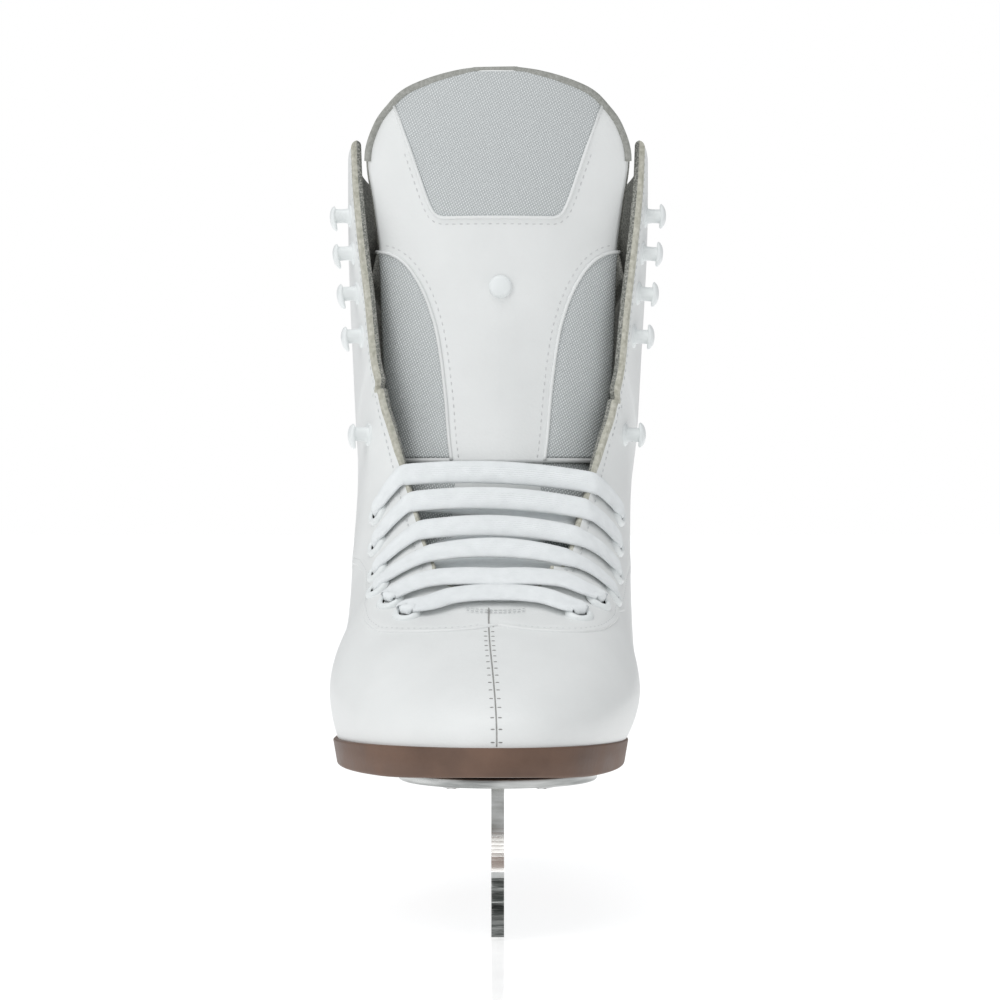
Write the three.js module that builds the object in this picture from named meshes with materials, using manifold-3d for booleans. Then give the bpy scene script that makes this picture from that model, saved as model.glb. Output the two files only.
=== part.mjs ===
// Figure skate: one lace-up boot with its blade, built as separate pieces.
// Millimetres, +Z up, toe toward -Y.
// The blade plane is x = 0. "left" is -X (outer side of the foot), "right" is +X (inner side).
import * as THREE from 'three';
import Module from 'manifold-3d';
import { mergeVertices } from 'three/addons/utils/BufferGeometryUtils.js';

const wasm = await Module();
wasm.setup();

// ---------------------------------------------------------------- boot surface
// Each station is one slanted cut through the boot: a ridge point (ry, rz) over the foot, a sole or back
// point (sy, sz), the half widths of both sides, how far the cut wraps (degrees) and the opening half width.
const STATIONS = [
  { ry: -52, rz: 115, sy: -56, sz: 57.3, wl: 54.4, wr: 46.0, wrap: 115, open: 21.0 },
  { ry: -41, rz: 124, sy: -28, sz: 58.4, wl: 52.5, wr: 45.6, wrap: 116, open: 24.6 },
  { ry: -31, rz: 134, sy: -6, sz: 63.8, wl: 51.0, wr: 45.4, wrap: 120, open: 27.3 },
  { ry: -21, rz: 145, sy: 15, sz: 71.0, wl: 50.3, wr: 45.4, wrap: 128, open: 30.3 },
  { ry: -14, rz: 156, sy: 38, sz: 82.5, wl: 50.0, wr: 45.6, wrap: 138, open: 33.2 },
  { ry: -14, rz: 169, sy: 60, sz: 92.0, wl: 49.4, wr: 46.0, wrap: 142, open: 36.3 },
  { ry: -20, rz: 183, sy: 82, sz: 96.6, wl: 49.2, wr: 46.5, wrap: 143, open: 39.3 },
  { ry: -27, rz: 197, sy: 104, sz: 98.6, wl: 49.3, wr: 47.3, wrap: 149, open: 41.3 },
  { ry: -30, rz: 206, sy: 119, sz: 99.8, wl: 49.6, wr: 48.3, wrap: 160, open: 42.8 },
  { ry: -31, rz: 212, sy: 124.5, sz: 101.5, wl: 50.0, wr: 49.0, wrap: 180, open: 43.5 },
  { ry: -31, rz: 219, sy: 126, sz: 118, wl: 50.6, wr: 49.8, wrap: 180, open: 44.4 },
  { ry: -30, rz: 228, sy: 124.5, sz: 140, wl: 51.3, wr: 50.6, wrap: 180, open: 45.6 },
  { ry: -30, rz: 238, sy: 119, sz: 165, wl: 52.0, wr: 51.5, wrap: 180, open: 47.2 },
  { ry: -31, rz: 249, sy: 113, sz: 192, wl: 52.5, wr: 52.3, wrap: 180, open: 48.8 },
  { ry: -33, rz: 259, sy: 113.5, sz: 215, wl: 52.6, wr: 52.6, wrap: 180, open: 50.0 },
  { ry: -36, rz: 269, sy: 116, sz: 235, wl: 52.6, wr: 52.6, wrap: 180, open: 50.6 },
];
const COLLAR = STATIONS.length - 1;
// Toe profile seen from the side, from the throat (0) to the edge of the sole (1): distance forward, height.
const TOE_PROFILE = [
  { f: 0, z: 115 }, { f: 14, z: 104.0 }, { f: 28, z: 95.6 }, { f: 44, z: 89.5 },
  { f: 58, z: 83.5 }, { f: 70, z: 76 }, { f: 78.4, z: 68 }, { f: 80.4, z: 59.4 },
];
const TOE_ROUND = { left: 1.0, right: 0.88 };
const FRONT_POWER = 0.75;
const DROP_POWER = 1.1;
// How quickly the sides draw in under the foot: little on the left of the toe, even from the arch back.
const UNDER_POWER = { left: 0.55, right: 1.1, from: 2, to: 5 };
const DEG = Math.PI / 180;

// Smooth curve through evenly spaced rows; pos counts rows.
function smooth(rows, key, pos) {
  const last = rows.length - 1;
  const p = Math.min(Math.max(pos, 0), last);
  const i = Math.min(Math.floor(p), last - 1);
  const t = p - i;
  const b = rows[i][key];
  const c = rows[i + 1][key];
  const a = i > 0 ? rows[i - 1][key] : 2 * b - c;
  const d = i + 2 <= last ? rows[i + 2][key] : 2 * c - b;
  const square = 2 * a - 5 * b + 4 * c - d;
  const cube = 3 * b - a - 3 * c + d;
  return 0.5 * (2 * b + (c - a) * t + square * t * t + cube * t * t * t);
}

const signedPower = (v, p) => Math.sign(v) * Math.abs(v) ** p;

// A cut through the boot at u: u from -1 (tip of the toe) through 0 (throat) to COLLAR (top edge).
function cut(side, u) {
  const pos = Math.max(u, 0);
  const wrap = Math.min(smooth(STATIONS, 'wrap', pos), 180) * DEG;
  return {
    u,
    ry: smooth(STATIONS, 'ry', pos),
    rz: smooth(STATIONS, 'rz', pos),
    sy: smooth(STATIONS, 'sy', pos),
    sz: smooth(STATIONS, 'sz', pos),
    w: smooth(STATIONS, side < 0 ? 'wl' : 'wr', pos),
    wrap,
    open: smooth(STATIONS, 'open', pos),
    turn: u < 0 ? -u * 90 * DEG : 0,
    round: side < 0 ? TOE_ROUND.left : TOE_ROUND.right,
  };
}

function underPower(side, u) {
  const front = side < 0 ? UNDER_POWER.left : UNDER_POWER.right;
  const back = Math.min(Math.max((u - UNDER_POWER.from) / (UNDER_POWER.to - UNDER_POWER.from), 0), 1);
  return front + (1 - front) * back;
}

// Point on the outside of the boot; t runs from 0 (ridge) to 1 (sole edge or centre back).
function skinPoint(side, u, t) {
  const c = cut(side, u);
  const psi = t * c.wrap;
  const power = psi < Math.PI / 2 ? FRONT_POWER : underPower(side, u);
  const across = Math.max(Math.sin(psi), 0) ** power;
  const end = signedPower(Math.cos(c.wrap), DROP_POWER);
  const down = (1 - signedPower(Math.cos(psi), DROP_POWER)) / (1 - end);
  const y = c.ry + (c.sy - c.ry) * down;
  const z = c.rz + (c.sz - c.rz) * down;
  if (u >= 0) {
    return new THREE.Vector3(side * c.w * across, y, z);
  }
  const row = t * (TOE_PROFILE.length - 1);
  const toeZ = smooth(TOE_PROFILE, 'z', row);
  const forward = smooth(TOE_PROFILE, 'f', row);
  const x = side * c.w * across * Math.cos(c.turn) ** c.round;
  return new THREE.Vector3(x, y - forward * Math.sin(c.turn), z + (toeZ - z) * Math.sin(c.turn));
}

// Outward direction of the boot surface.
function skinNormal(side, u, t) {
  const h = 0.01;
  const u0 = Math.max(u - h, -1);
  const u1 = Math.min(u + h, COLLAR);
  const t0 = Math.max(t - h, 0);
  const t1 = Math.min(t + h, 1);
  const du = skinPoint(side, u1, t).sub(skinPoint(side, u0, t));
  const dt = skinPoint(side, u, t1).sub(skinPoint(side, u, t0));
  const n = new THREE.Vector3().crossVectors(du, dt).multiplyScalar(-side);
  if (n.lengthSq() < 1e-12) {
    return new THREE.Vector3(0, -1, 0);
  }
  return n.normalize();
}

function onSkin(side, u, t, lift) {
  return skinPoint(side, u, t).addScaledVector(skinNormal(side, u, t), lift);
}

// The t value where the surface is x wide, on the upper half of the cut.
function tAtWidth(side, u, x) {
  const c = cut(side, u);
  const w = c.w * (u < 0 ? Math.cos(c.turn) ** c.round : 1);
  return Math.asin(Math.min((x / w) ** (1 / FRONT_POWER), 1)) / c.wrap;
}

// Surface point above a plan position, found by walking over the surface with a shrinking step.
function settle(side, x, y) {
  let best = { u: 0, t: 0.3, gap: 1e9 };
  const look = (u, t) => {
    const p = skinPoint(side, u, t);
    const gap = Math.hypot(p.x - x, p.y - y);
    if (gap < best.gap) {
      best = { u, t, gap };
    }
  };
  for (let u = -1; u <= 6; u += 0.1) {
    for (let t = 0.01; t < 0.62; t += 0.03) {
      look(u, t);
    }
  }
  for (let step = 0.05; step > 1e-4; step *= 0.6) {
    const { u, t } = best;
    for (const [du, dt] of [[1, 0], [-1, 0], [0, 1], [0, -1], [1, 1], [-1, -1], [1, -1], [-1, 1]]) {
      look(Math.min(Math.max(u + du * step * 2, -1), 8), Math.max(t + dt * step * 0.6, 0.002));
    }
  }
  return best;
}

// ---------------------------------------------------------------- solid helpers
const V = (x, y, z) => new THREE.Vector3(x, y, z);
const root = new THREE.Group();
root.name = 'figure_skate';

const LEATHER = 0xe4e7e8;
const STEEL = 0xc8cccd;
const SOLE = 0x7a5648;
const LACE = 0xeef1f2;
const MESH_GREY = 0xbcc1c3;
const LINING = 0x5a5d5c;
const BOARD = 0xc9b38c;

function solidFrom(points, faces) {
  const ids = new Map();
  const verts = [];
  const index = points.map((p) => {
    const key = [p.x, p.y, p.z].map((v) => Math.round(v * 1e4)).join(',');
    if (!ids.has(key)) {
      ids.set(key, verts.length / 3);
      verts.push(p.x, p.y, p.z);
    }
    return ids.get(key);
  });
  const tris = [];
  for (const [a, b, c] of faces) {
    const [i, j, k] = [index[a], index[b], index[c]];
    if (i !== j && j !== k && k !== i) {
      tris.push(i, j, k);
    }
  }
  const build = (list) => new wasm.Manifold(new wasm.Mesh({
    numProp: 3, vertProperties: new Float32Array(verts), triVerts: new Uint32Array(list),
  }));
  const made = build(tris);
  if (made.volume() > 0) {
    return made;
  }
  const flipped = [];
  for (let i = 0; i < tris.length; i += 3) {
    flipped.push(tris[i], tris[i + 2], tris[i + 1]);
  }
  return build(flipped);
}

// Closed solid between two equal grids of points (outer face and inner face).
function between(outer, inner) {
  const rows = outer.length;
  const cols = outer[0].length;
  const points = [...outer.flat(), ...inner.flat()];
  const at = (layer, i, j) => layer * rows * cols + i * cols + j;
  const faces = [];
  const quad = (a, b, c, d) => faces.push([a, b, c], [a, c, d]);
  for (let i = 0; i < rows - 1; i += 1) {
    for (let j = 0; j < cols - 1; j += 1) {
      quad(at(0, i, j), at(0, i + 1, j), at(0, i + 1, j + 1), at(0, i, j + 1));
      quad(at(1, i, j), at(1, i, j + 1), at(1, i + 1, j + 1), at(1, i + 1, j));
    }
  }
  for (let i = 0; i < rows - 1; i += 1) {
    quad(at(0, i + 1, 0), at(0, i, 0), at(1, i, 0), at(1, i + 1, 0));
    quad(at(0, i, cols - 1), at(0, i + 1, cols - 1), at(1, i + 1, cols - 1), at(1, i, cols - 1));
  }
  for (let j = 0; j < cols - 1; j += 1) {
    quad(at(0, 0, j), at(0, 0, j + 1), at(1, 0, j + 1), at(1, 0, j));
    quad(at(0, rows - 1, j + 1), at(0, rows - 1, j), at(1, rows - 1, j), at(1, rows - 1, j + 1));
  }
  return solidFrom(points, faces);
}

// Closed solid through a stack of rings with equal point counts, capped flat at both ends.
function loft(rings) {
  const n = rings[0].length;
  const points = rings.flat();
  const faces = [];
  for (let k = 0; k < rings.length - 1; k += 1) {
    for (let i = 0; i < n; i += 1) {
      const j = (i + 1) % n;
      faces.push([k * n + i, k * n + j, (k + 1) * n + j], [k * n + i, (k + 1) * n + j, (k + 1) * n + i]);
    }
  }
  const middle = (ring) => ring.reduce((s, p) => s.add(p), V(0, 0, 0)).divideScalar(n);
  const low = points.push(middle(rings[0])) - 1;
  const high = points.push(middle(rings[rings.length - 1])) - 1;
  const top = (rings.length - 1) * n;
  for (let i = 0; i < n; i += 1) {
    const j = (i + 1) % n;
    faces.push([low, j, i], [high, top + i, top + j]);
  }
  return solidFrom(points, faces);
}

// Turned solid about +Z through [radius, height] steps, closed by a flat cap at both ends.
function turned(steps, segments) {
  const rings = steps.map(([r, z]) => {
    const ring = [];
    for (let i = 0; i < segments; i += 1) {
      const a = (i / segments) * 2 * Math.PI;
      ring.push(V(r * Math.cos(a), r * Math.sin(a), z));
    }
    return ring;
  });
  return loft(rings);
}

function block(centre, size) {
  const geometry = new THREE.BoxGeometry(size.x, size.y, size.z);
  geometry.translate(centre.x, centre.y, centre.z);
  return solidOf(geometry);
}

function solidOf(geometry) {
  geometry.deleteAttribute('normal');
  geometry.deleteAttribute('uv');
  const merged = mergeVertices(geometry, 1e-4);
  return new wasm.Manifold(new wasm.Mesh({
    numProp: 3,
    vertProperties: merged.attributes.position.array,
    triVerts: new Uint32Array(merged.index.array),
  }));
}

// Moves a solid built about the origin so its +Z points along axis and its +Y as near as possible to up.
function aim(solid, origin, axis, up) {
  const z = axis.clone().normalize();
  const x = new THREE.Vector3().crossVectors(up, z).normalize();
  const y = new THREE.Vector3().crossVectors(z, x);
  const m = new THREE.Matrix4().makeBasis(x, y, z).setPosition(origin);
  return solid.transform(m.elements);
}

function add(name, solid, color) {
  const made = solid.getMesh();
  const geometry = new THREE.BufferGeometry();
  const flat = new Float32Array(made.triVerts.length * 3);
  made.triVerts.forEach((v, i) => {
    for (let k = 0; k < 3; k += 1) {
      flat[i * 3 + k] = made.vertProperties[v * made.numProp + k];
    }
  });
  geometry.setAttribute('position', new THREE.BufferAttribute(flat, 3));
  geometry.computeVertexNormals();
  const mesh = new THREE.Mesh(geometry, new THREE.MeshStandardMaterial({ color, roughness: 0.6 }));
  mesh.name = name;
  root.add(mesh);
}

const SIDES = [['left', -1], ['right', 1]];
const span = (a, b, n) => Array.from({ length: n + 1 }, (_, i) => a + ((b - a) * i) / n);

// ---------------------------------------------------------------- upper panels
const SKIN = 3.2;
const FLAP_SKIN = 3.8;
const SEAM_GAP = 0.006;
const HINGE_GAP = 0.007;
const THROAT_T = 0.143;
// The line in the side view where the front flap opens: from the flex notch up and back to the collar.
const FLEX_LINE = { y: 0, z: 168, dy: 75, dz: 79 };

function openEdge(side, u) {
  return u <= 0 ? THROAT_T : tAtWidth(side, u, cut(side, u).open);
}

// t where the cut crosses the flex line.
function flexEdge(side, u) {
  const c = cut(side, u);
  const off = (y, z) => (z - FLEX_LINE.z) * FLEX_LINE.dy - (y - FLEX_LINE.y) * FLEX_LINE.dz;
  const a = off(c.ry, c.rz);
  const b = off(c.sy, c.sz);
  const share = a / (a - b);
  const end = signedPower(Math.cos(c.wrap), DROP_POWER);
  const level = 1 - share * (1 - end);
  return Math.acos(signedPower(level, 1 / DROP_POWER)) / c.wrap;
}

// t where the vamp gives way to the quarter: round the front of the lacing, back along it, then down to the
// sole at the arch.
const VAMP_SEAM = {
  left: [
    { u: -1, t: 0.3 }, { u: -0.7, t: 0.37 }, { u: -0.37, t: 0.448 }, { u: -0.1, t: 0.42 },
    { u: 1.0, t: 0.453 }, { u: 1.9, t: 0.475 }, { u: 2.8, t: 0.525 },
    { u: 3.5, t: 0.59 }, { u: 4.0, t: 0.7 }, { u: 4.4, t: 1.0 },
  ],
  right: [
    { u: -1, t: 0.3 }, { u: -0.7, t: 0.37 }, { u: -0.43, t: 0.433 }, { u: -0.2, t: 0.45 },
    { u: 1.2, t: 0.54 }, { u: 1.9, t: 0.565 }, { u: 2.8, t: 0.585 },
    { u: 3.5, t: 0.62 }, { u: 4.0, t: 0.72 }, { u: 4.4, t: 1.0 },
  ],
};
function vampSeam(side, u) {
  const seam = side < 0 ? VAMP_SEAM.left : VAMP_SEAM.right;
  const last = seam.length - 1;
  for (let i = 0; i < last; i += 1) {
    const a = seam[i];
    const b = seam[i + 1];
    if (u <= b.u) {
      return a.t + ((b.t - a.t) * Math.max(u - a.u, 0)) / (b.u - a.u);
    }
  }
  return 1;
}

function panel(side, cuts, from, to, cols, lift, depth) {
  const row = (u, height) => span(from(u), to(u), cols).map((t) => onSkin(side, u, t, height));
  const grid = (height) => cuts.map((u) => row(u, height));
  return between(grid(lift), grid(depth));
}

// Keeps a left or right half clear of the centre seam.
const halfOnly = (solid, side) => solid.subtract(block(V(-side * 99.75, 0, 150), V(200, 400, 400)));
const TOE_CUTS = [-1, -0.85, -0.68, -0.52, -0.36, -0.18];

// Eyelet places from the toe up.
const EYELETS = {
  left: [
    { u: -0.44, t: 0.33 }, { u: -0.23, t: 0.32 }, { u: 0.15, t: 0.35 }, { u: 1.1, t: 0.375 },
    { u: 2.2, t: 0.389 }, { u: 3.17, t: 0.374 },
  ],
  right: [
    { u: -0.43, t: 0.335 }, { u: -0.15, t: 0.35 }, { u: 0.75, t: 0.44 }, { u: 1.9, t: 0.465 },
    { u: 2.83, t: 0.456 }, { u: 3.75, t: 0.443 },
  ],
};
const ROWS = EYELETS.left.length;
const HOOK_HEIGHTS = [157, 191, 206, 220, 233];
// Distance of each hook from the edge of the opening.
const HOOK_INSETS = [15, 10.5, 10.5, 10.5, 10.5];

function hookSpot(side, height, inset) {
  const tFor = (u) => {
    let t = openEdge(side, u);
    const start = skinPoint(side, u, t);
    while (skinPoint(side, u, t).distanceTo(start) < inset) {
      t += 0.001;
    }
    return t;
  };
  let low = 3;
  let high = COLLAR;
  for (let i = 0; i < 24; i += 1) {
    const mid = (low + high) / 2;
    if (skinPoint(side, mid, tFor(mid)).z < height) {
      low = mid;
    } else {
      high = mid;
    }
  }
  return { u: low, t: tFor(low) };
}

// Mushroom head of a hook: an oval bar across the stem, thinner and turned slightly in at both tips.
function hookHead() {
  const slices = [[-4.6, 0.8, 0.6], [-3.6, 1.9, 1.1], [0, 2.8, 1.4], [3.6, 1.9, 1.1], [4.6, 0.8, 0.6]];
  return loft(slices.map(([y, wide, deep]) => span(0, (2 * Math.PI * 5) / 6, 5).map((a) => V(
    wide * Math.sin(a), y, 6.6 - 0.035 * y * y + deep * Math.cos(a),
  ))));
}

for (const [name, side] of SIDES) {
  const eyeletSpots = EYELETS[name];
  const hookSpots = HOOK_HEIGHTS.map((h, i) => hookSpot(side, h, HOOK_INSETS[i]));
  const bore = (spot, radius) => aim(
    turned([[radius, -8], [radius, 8]], 12),
    skinPoint(side, spot.u, spot.t), skinNormal(side, spot.u, spot.t), V(0, 0, 1),
  );

  const vampCuts = [...TOE_CUTS, 0, 0.5, 1.2, 1.9, 2.8, 3.5, 4.0, 4.25];
  const vamp = panel(side, vampCuts, (u) => vampSeam(side, u) + SEAM_GAP, () => 1, 7, 0, -SKIN);
  add(`vamp_${name}`, halfOnly(vamp, side), LEATHER);

  const quarterCuts = [...TOE_CUTS, 0, 0.5, 1.2, 1.9, 2.8, 3.5, 4.0, 4.4, 5, 6, 6.5, 7.2, 8, 8.7, 9.4,
    10.5, 11.7, 13, 14.2, COLLAR];
  const quarterFrom = (u) => Math.max(openEdge(side, u), u > 5.5 ? flexEdge(side, u) + HINGE_GAP : 0);
  let quarter = halfOnly(panel(side, quarterCuts, quarterFrom, (u) => vampSeam(side, u), 8, 0, -SKIN), side);
  for (const spot of eyeletSpots) {
    quarter = quarter.subtract(bore(spot, 3.3));
  }
  add(`quarter_${name}`, quarter.subtract(bore(hookSpots[0], 1.9)), LEATHER);

  const flapCuts = [7.1, 7.8, 8.6, 9.4, 10.5, 11.7, 13, 14.2, COLLAR];
  const flapTo = (u) => flexEdge(side, u) - HINGE_GAP;
  let flap = panel(side, flapCuts, (u) => openEdge(side, u), flapTo, 6, 0, -FLAP_SKIN);
  for (const spot of hookSpots.slice(1)) {
    flap = flap.subtract(bore(spot, 1.9));
  }
  add(`flap_${name}`, flap, LEATHER);

  // Eyelet: flange outside, barrel through the facing, rolled rim inside.
  eyeletSpots.forEach((spot, i) => {
    const outer = turned([[4.6, 0.3], [4.2, 1.0]], 10).add(turned([[2.95, -3.45], [2.95, 0.4]], 10));
    const made = outer.subtract(turned([[2.35, -8], [2.35, 8]], 10));
    const at = skinPoint(side, spot.u, spot.t);
    add(`eyelet_${name}_${i + 1}`, aim(made, at, skinNormal(side, spot.u, spot.t), V(0, 0, 1)), LACE);
  });

  // Hook: rivet through the leather, round base, stem and a head with one prong up and one down.
  hookSpots.forEach((spot, i) => {
    const depth = i === 0 ? SKIN : FLAP_SKIN;
    const rivet = turned([[1.5, -depth - 0.4], [1.5, 0.5]], 6);
    const base = turned([[4.6, 0.3], [4.2, 1.2]], 10);
    const stem = turned([[2.5, 1.0], [2.1, 6.2]], 6);
    const made = rivet.add(base).add(stem).add(hookHead());
    const at = skinPoint(side, spot.u, spot.t);
    add(`hook_${name}_${i + 1}`, aim(made, at, skinNormal(side, spot.u, spot.t), V(0, 0, 1)), LACE);
  });
}

// Backstay strip over the back seam.
const BACKSTAY_CUTS = [9.4, 10.5, 11.7, 13, 14.2, COLLAR];
const backRow = (u, from, cols, lift) => [
  ...span(from, 1, cols).map((t) => onSkin(-1, u, t, lift)),
  ...span(1, from, cols).slice(1).map((t) => onSkin(1, u, t, lift)),
];
add('backstay', between(
  BACKSTAY_CUTS.map((u) => backRow(u, 0.925, 2, 0.8)),
  BACKSTAY_CUTS.map((u) => backRow(u, 0.925, 2, 2.2)),
), LEATHER);

// Padded lining round the heel and ankle, behind the flaps.
const PAD_CUTS = [10.5, 11.7, 13, 14.2, COLLAR - 0.25];
const padStart = (u) => Math.max(flexEdge(-1, u) + 0.035, 0.5);
add('ankle_padding', between(
  PAD_CUTS.map((u) => backRow(u, padStart(u), 7, -SKIN - 1.3)),
  PAD_CUTS.map((u) => backRow(u, padStart(u), 7, -SKIN - 6.5)),
), LINING);

// ---------------------------------------------------------------- sole and insole
// One rung across the boot bottom for every cut, from the left edge to the right edge of the upper.
const RUNG_CUTS = [-1, -0.93, -0.84, -0.74, -0.62, -0.48, -0.3, 0, 0.5, 1, 1.6, 2.3, 3, 3.7, 4.4, 5.1,
  5.8, 6.5, 7.2, 7.8, 8.3, 8.7, 9];
const edgeHeight = (u) => skinPoint(-1, u, 1).z;

// Edge points of the boot bottom, moved out (or in) by grow in plan.
function bottomEdge(side, grow) {
  const points = RUNG_CUTS.map((u) => skinPoint(side, u, 1));
  return points.map((p, i) => {
    const before = i > 0 ? points[i - 1] : V(-points[1].x, points[1].y, 0);
    const after = i < points.length - 1 ? points[i + 1] : V(-points[i - 1].x, points[i - 1].y, 0);
    const along = after.clone().sub(before).setZ(0).normalize();
    const moved = p.clone().addScaledVector(V(-side * along.y, side * along.x, 0), -grow);
    if (i === 0 || i === points.length - 1) {
      moved.x = 0;
    }
    return moved;
  });
}

// Slab over part of the boot bottom; top and bottom give its two heights from the edge height and y.
function slab(grow, top, bottom, from = 0, to = RUNG_CUTS.length - 1) {
  const left = bottomEdge(-1, grow);
  const right = bottomEdge(1, grow);
  const rungs = (height) => left.slice(from, to + 1).map((l, i) => {
    const r = right[from + i];
    const z = edgeHeight(RUNG_CUTS[from + i]);
    return span(0, 1, 4).map((k) => {
      const p = l.clone().lerp(r, k);
      return p.setZ(height(z, p.y));
    });
  });
  return between(rungs(top), rungs(bottom));
}

const SOLE_FLAT = 49.6;
const SOLE_THICK = 8.2;
const TOE_SPRING = 1.6;
function soleUnder(z, y) {
  if (y < -36) {
    return SOLE_FLAT + TOE_SPRING * Math.max(0, (-112 - y) / 26) ** 2;
  }
  return Math.max(z - SOLE_THICK, SOLE_FLAT);
}
// The sole sits a little toward the outer side of the foot.
const SOLE_SHIFT = -0.4;
let outsole = slab(1.4, (z) => z - 1, soleUnder).translate([SOLE_SHIFT, 0, 0]);

const HEEL_FROM = 15;
const HEEL_FOOT = 61.2;
function heelLayer(grow, top, bottom, taper) {
  const left = bottomEdge(-1, grow);
  const right = bottomEdge(1, grow);
  const rungs = (height, shrink) => left.slice(HEEL_FROM).map((l, i) => {
    const r = right[HEEL_FROM + i];
    const z = edgeHeight(RUNG_CUTS[HEEL_FROM + i]);
    return span(0, 1, 4).map((k) => {
      const p = l.clone().lerp(r, k);
      p.x *= 1 - shrink * 0.12;
      p.y = 96 + (p.y - 96) * (1 - shrink * (p.y < 96 ? 0.22 : 0.08));
      return p.setZ(height(z, p.y));
    });
  });
  return between(rungs(top, taper[0]), rungs(bottom, taper[1]));
}
let heelBlock = heelLayer(1.6, (z, y) => soleUnder(z, y) - 0.9, () => HEEL_FOOT, [0, 1]);
let heelLift = heelLayer(1.6, () => HEEL_FOOT - 0.3, () => 58.1, [1, 1.15]);

add('insole_board', slab(-5.6, (z) => z + 4.6, (z) => z + 2.5), BOARD);
add('footbed', slab(-8, (z) => z + 8.2, (z) => z + 5), MESH_GREY);
const SHANK_Y = [-25, 0, 25, 50, 75, 100];
const soleHeightAt = (y) => {
  const i = Math.max(RUNG_CUTS.findIndex((u) => skinPoint(-1, u, 1).y >= y), 1);
  const a = skinPoint(-1, RUNG_CUTS[i - 1], 1);
  const b = skinPoint(-1, RUNG_CUTS[i], 1);
  return a.z + ((b.z - a.z) * (y - a.y)) / (b.y - a.y);
};
const shankRow = (lift) => SHANK_Y.map((y) => [-8, 8].map((x) => V(x, y, soleHeightAt(y) + lift)));
add('shank', between(shankRow(2.0), shankRow(0.6)), STEEL);

// ---------------------------------------------------------------- blade
const RUNNER_THICK = 3.9;
const ROCKER = 2100;
const CONTACT_Y = -45;
const rockerZ = (y) => (y - CONTACT_Y) ** 2 / (2 * ROCKER);
const PLATE = { front: -122, back: -35, half: 31.5, top: 49.25, thick: 2.9 };
const HEEL_PLATE = { front: 72, back: 127, half: 20, top: 57.8, thick: 2.9 };

// Side outline of the runner, tail to toe along the rocker, up the toe picks and back over the top.
const FLAT_HALF = 3;
const ROCKER_END = -108;
const TAIL = 139;
const PICKS = { count: 4, pitch: 4, first: 6.7 };
const POST_TOP = PLATE.top - PLATE.thick - 0.3;
function runnerOutline() {
  const behind = CONTACT_Y + FLAT_HALF;
  const ahead = CONTACT_Y - FLAT_HALF;
  const line = span(TAIL, behind, 12).map((y) => [y, rockerZ(y)]);
  line.push([behind, 0], [ahead, 0]);
  line.push(...span(ahead, ROCKER_END, 4).slice(1).map((y) => [y, rockerZ(y)]));
  line.push([-112, 3.4], [-119.5, 0.8]);
  for (let i = 0; i < PICKS.count; i += 1) {
    const z = PICKS.first + i * PICKS.pitch;
    line.push([-120 - i * 2.1 + 1.6, z - 0.6], [-122.5 - i * 1.75, z + 1.1]);
  }
  line.push([-127.6, 21.6], [-123.4, 27], [-119.6, 34], [-117.6, 41], [-117, POST_TOP], [-103, POST_TOP]);
  line.push([-101.5, 36], [-97, 28.5], [-90, 24.5], [-60, 23.2], [0, 22.6], [60, 24]);
  line.push([112, 25.5], [128, 24], [136, 18], [TAIL, 11]);
  return line;
}
function sidePlate(outline, thick) {
  const shape = new THREE.Shape(outline.map(([y, z]) => new THREE.Vector2(y, z)));
  const geometry = new THREE.ExtrudeGeometry(shape, { depth: thick, bevelEnabled: false });
  geometry.translate(0, 0, -thick / 2);
  geometry.applyMatrix4(new THREE.Matrix4().makeBasis(V(0, 1, 0), V(0, 0, 1), V(1, 0, 0)));
  return solidOf(geometry);
}
const apart = (a, b) => Math.hypot(a[0] - b[0], a[1] - b[1]) > 0.05;
const unique = (line) => line.filter((p, i) => i === 0 || apart(p, line[i - 1]));
const runner = sidePlate(unique(runnerOutline()), RUNNER_THICK);
add('runner', runner, STEEL);

// Rounded oblong ring at height z: centre y, half length, half width.
function oblong(y, z, halfLong, halfWide) {
  return span(0, 2 * Math.PI * (19 / 20), 19).map((a) => V(
    halfWide * signedPower(Math.sin(a), 0.7), y + halfLong * signedPower(Math.cos(a), 0.7), z,
  ));
}
// Room that both posts leave round the runner, which they stand on.
const SLOT_OUTLINE = [
  [-140, -5], [150, -5], [150, 22], [112, 25.9], [60, 24.4], [0, 23], [-60, 23.6], [-90, 24.9], [-97, 28.9],
  [-101.9, 36.2], [-102.6, 60], [-140, 60],
];
const slot = sidePlate(SLOT_OUTLINE, RUNNER_THICK + 0.6);
// Both posts as stacked oblong rings: y, z, half length, half width.
const FRONT_POST = [
  [-73, 22, 15, 1.95], [-73, 31, 13.5, 1.95], [-73, 38, 15, 1.95], [-73, 42.5, 19, 2.3], [-73, 44.6, 24, 4.5],
  [-73, POST_TOP, 28, 9],
];
const REAR_POST = [
  [90, 22, 17, 1.95], [92, 36, 13.5, 1.95], [95, 46, 16, 2.1], [97, 51.5, 19, 4.5],
  [98, HEEL_PLATE.top - HEEL_PLATE.thick - 0.3, 24, 9],
];
const post = (rings) => loft(rings.map((ring) => oblong(...ring))).subtract(slot);
add('front_stanchion', post(FRONT_POST), STEEL);
add('rear_stanchion', post(REAR_POST), STEEL);

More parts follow.
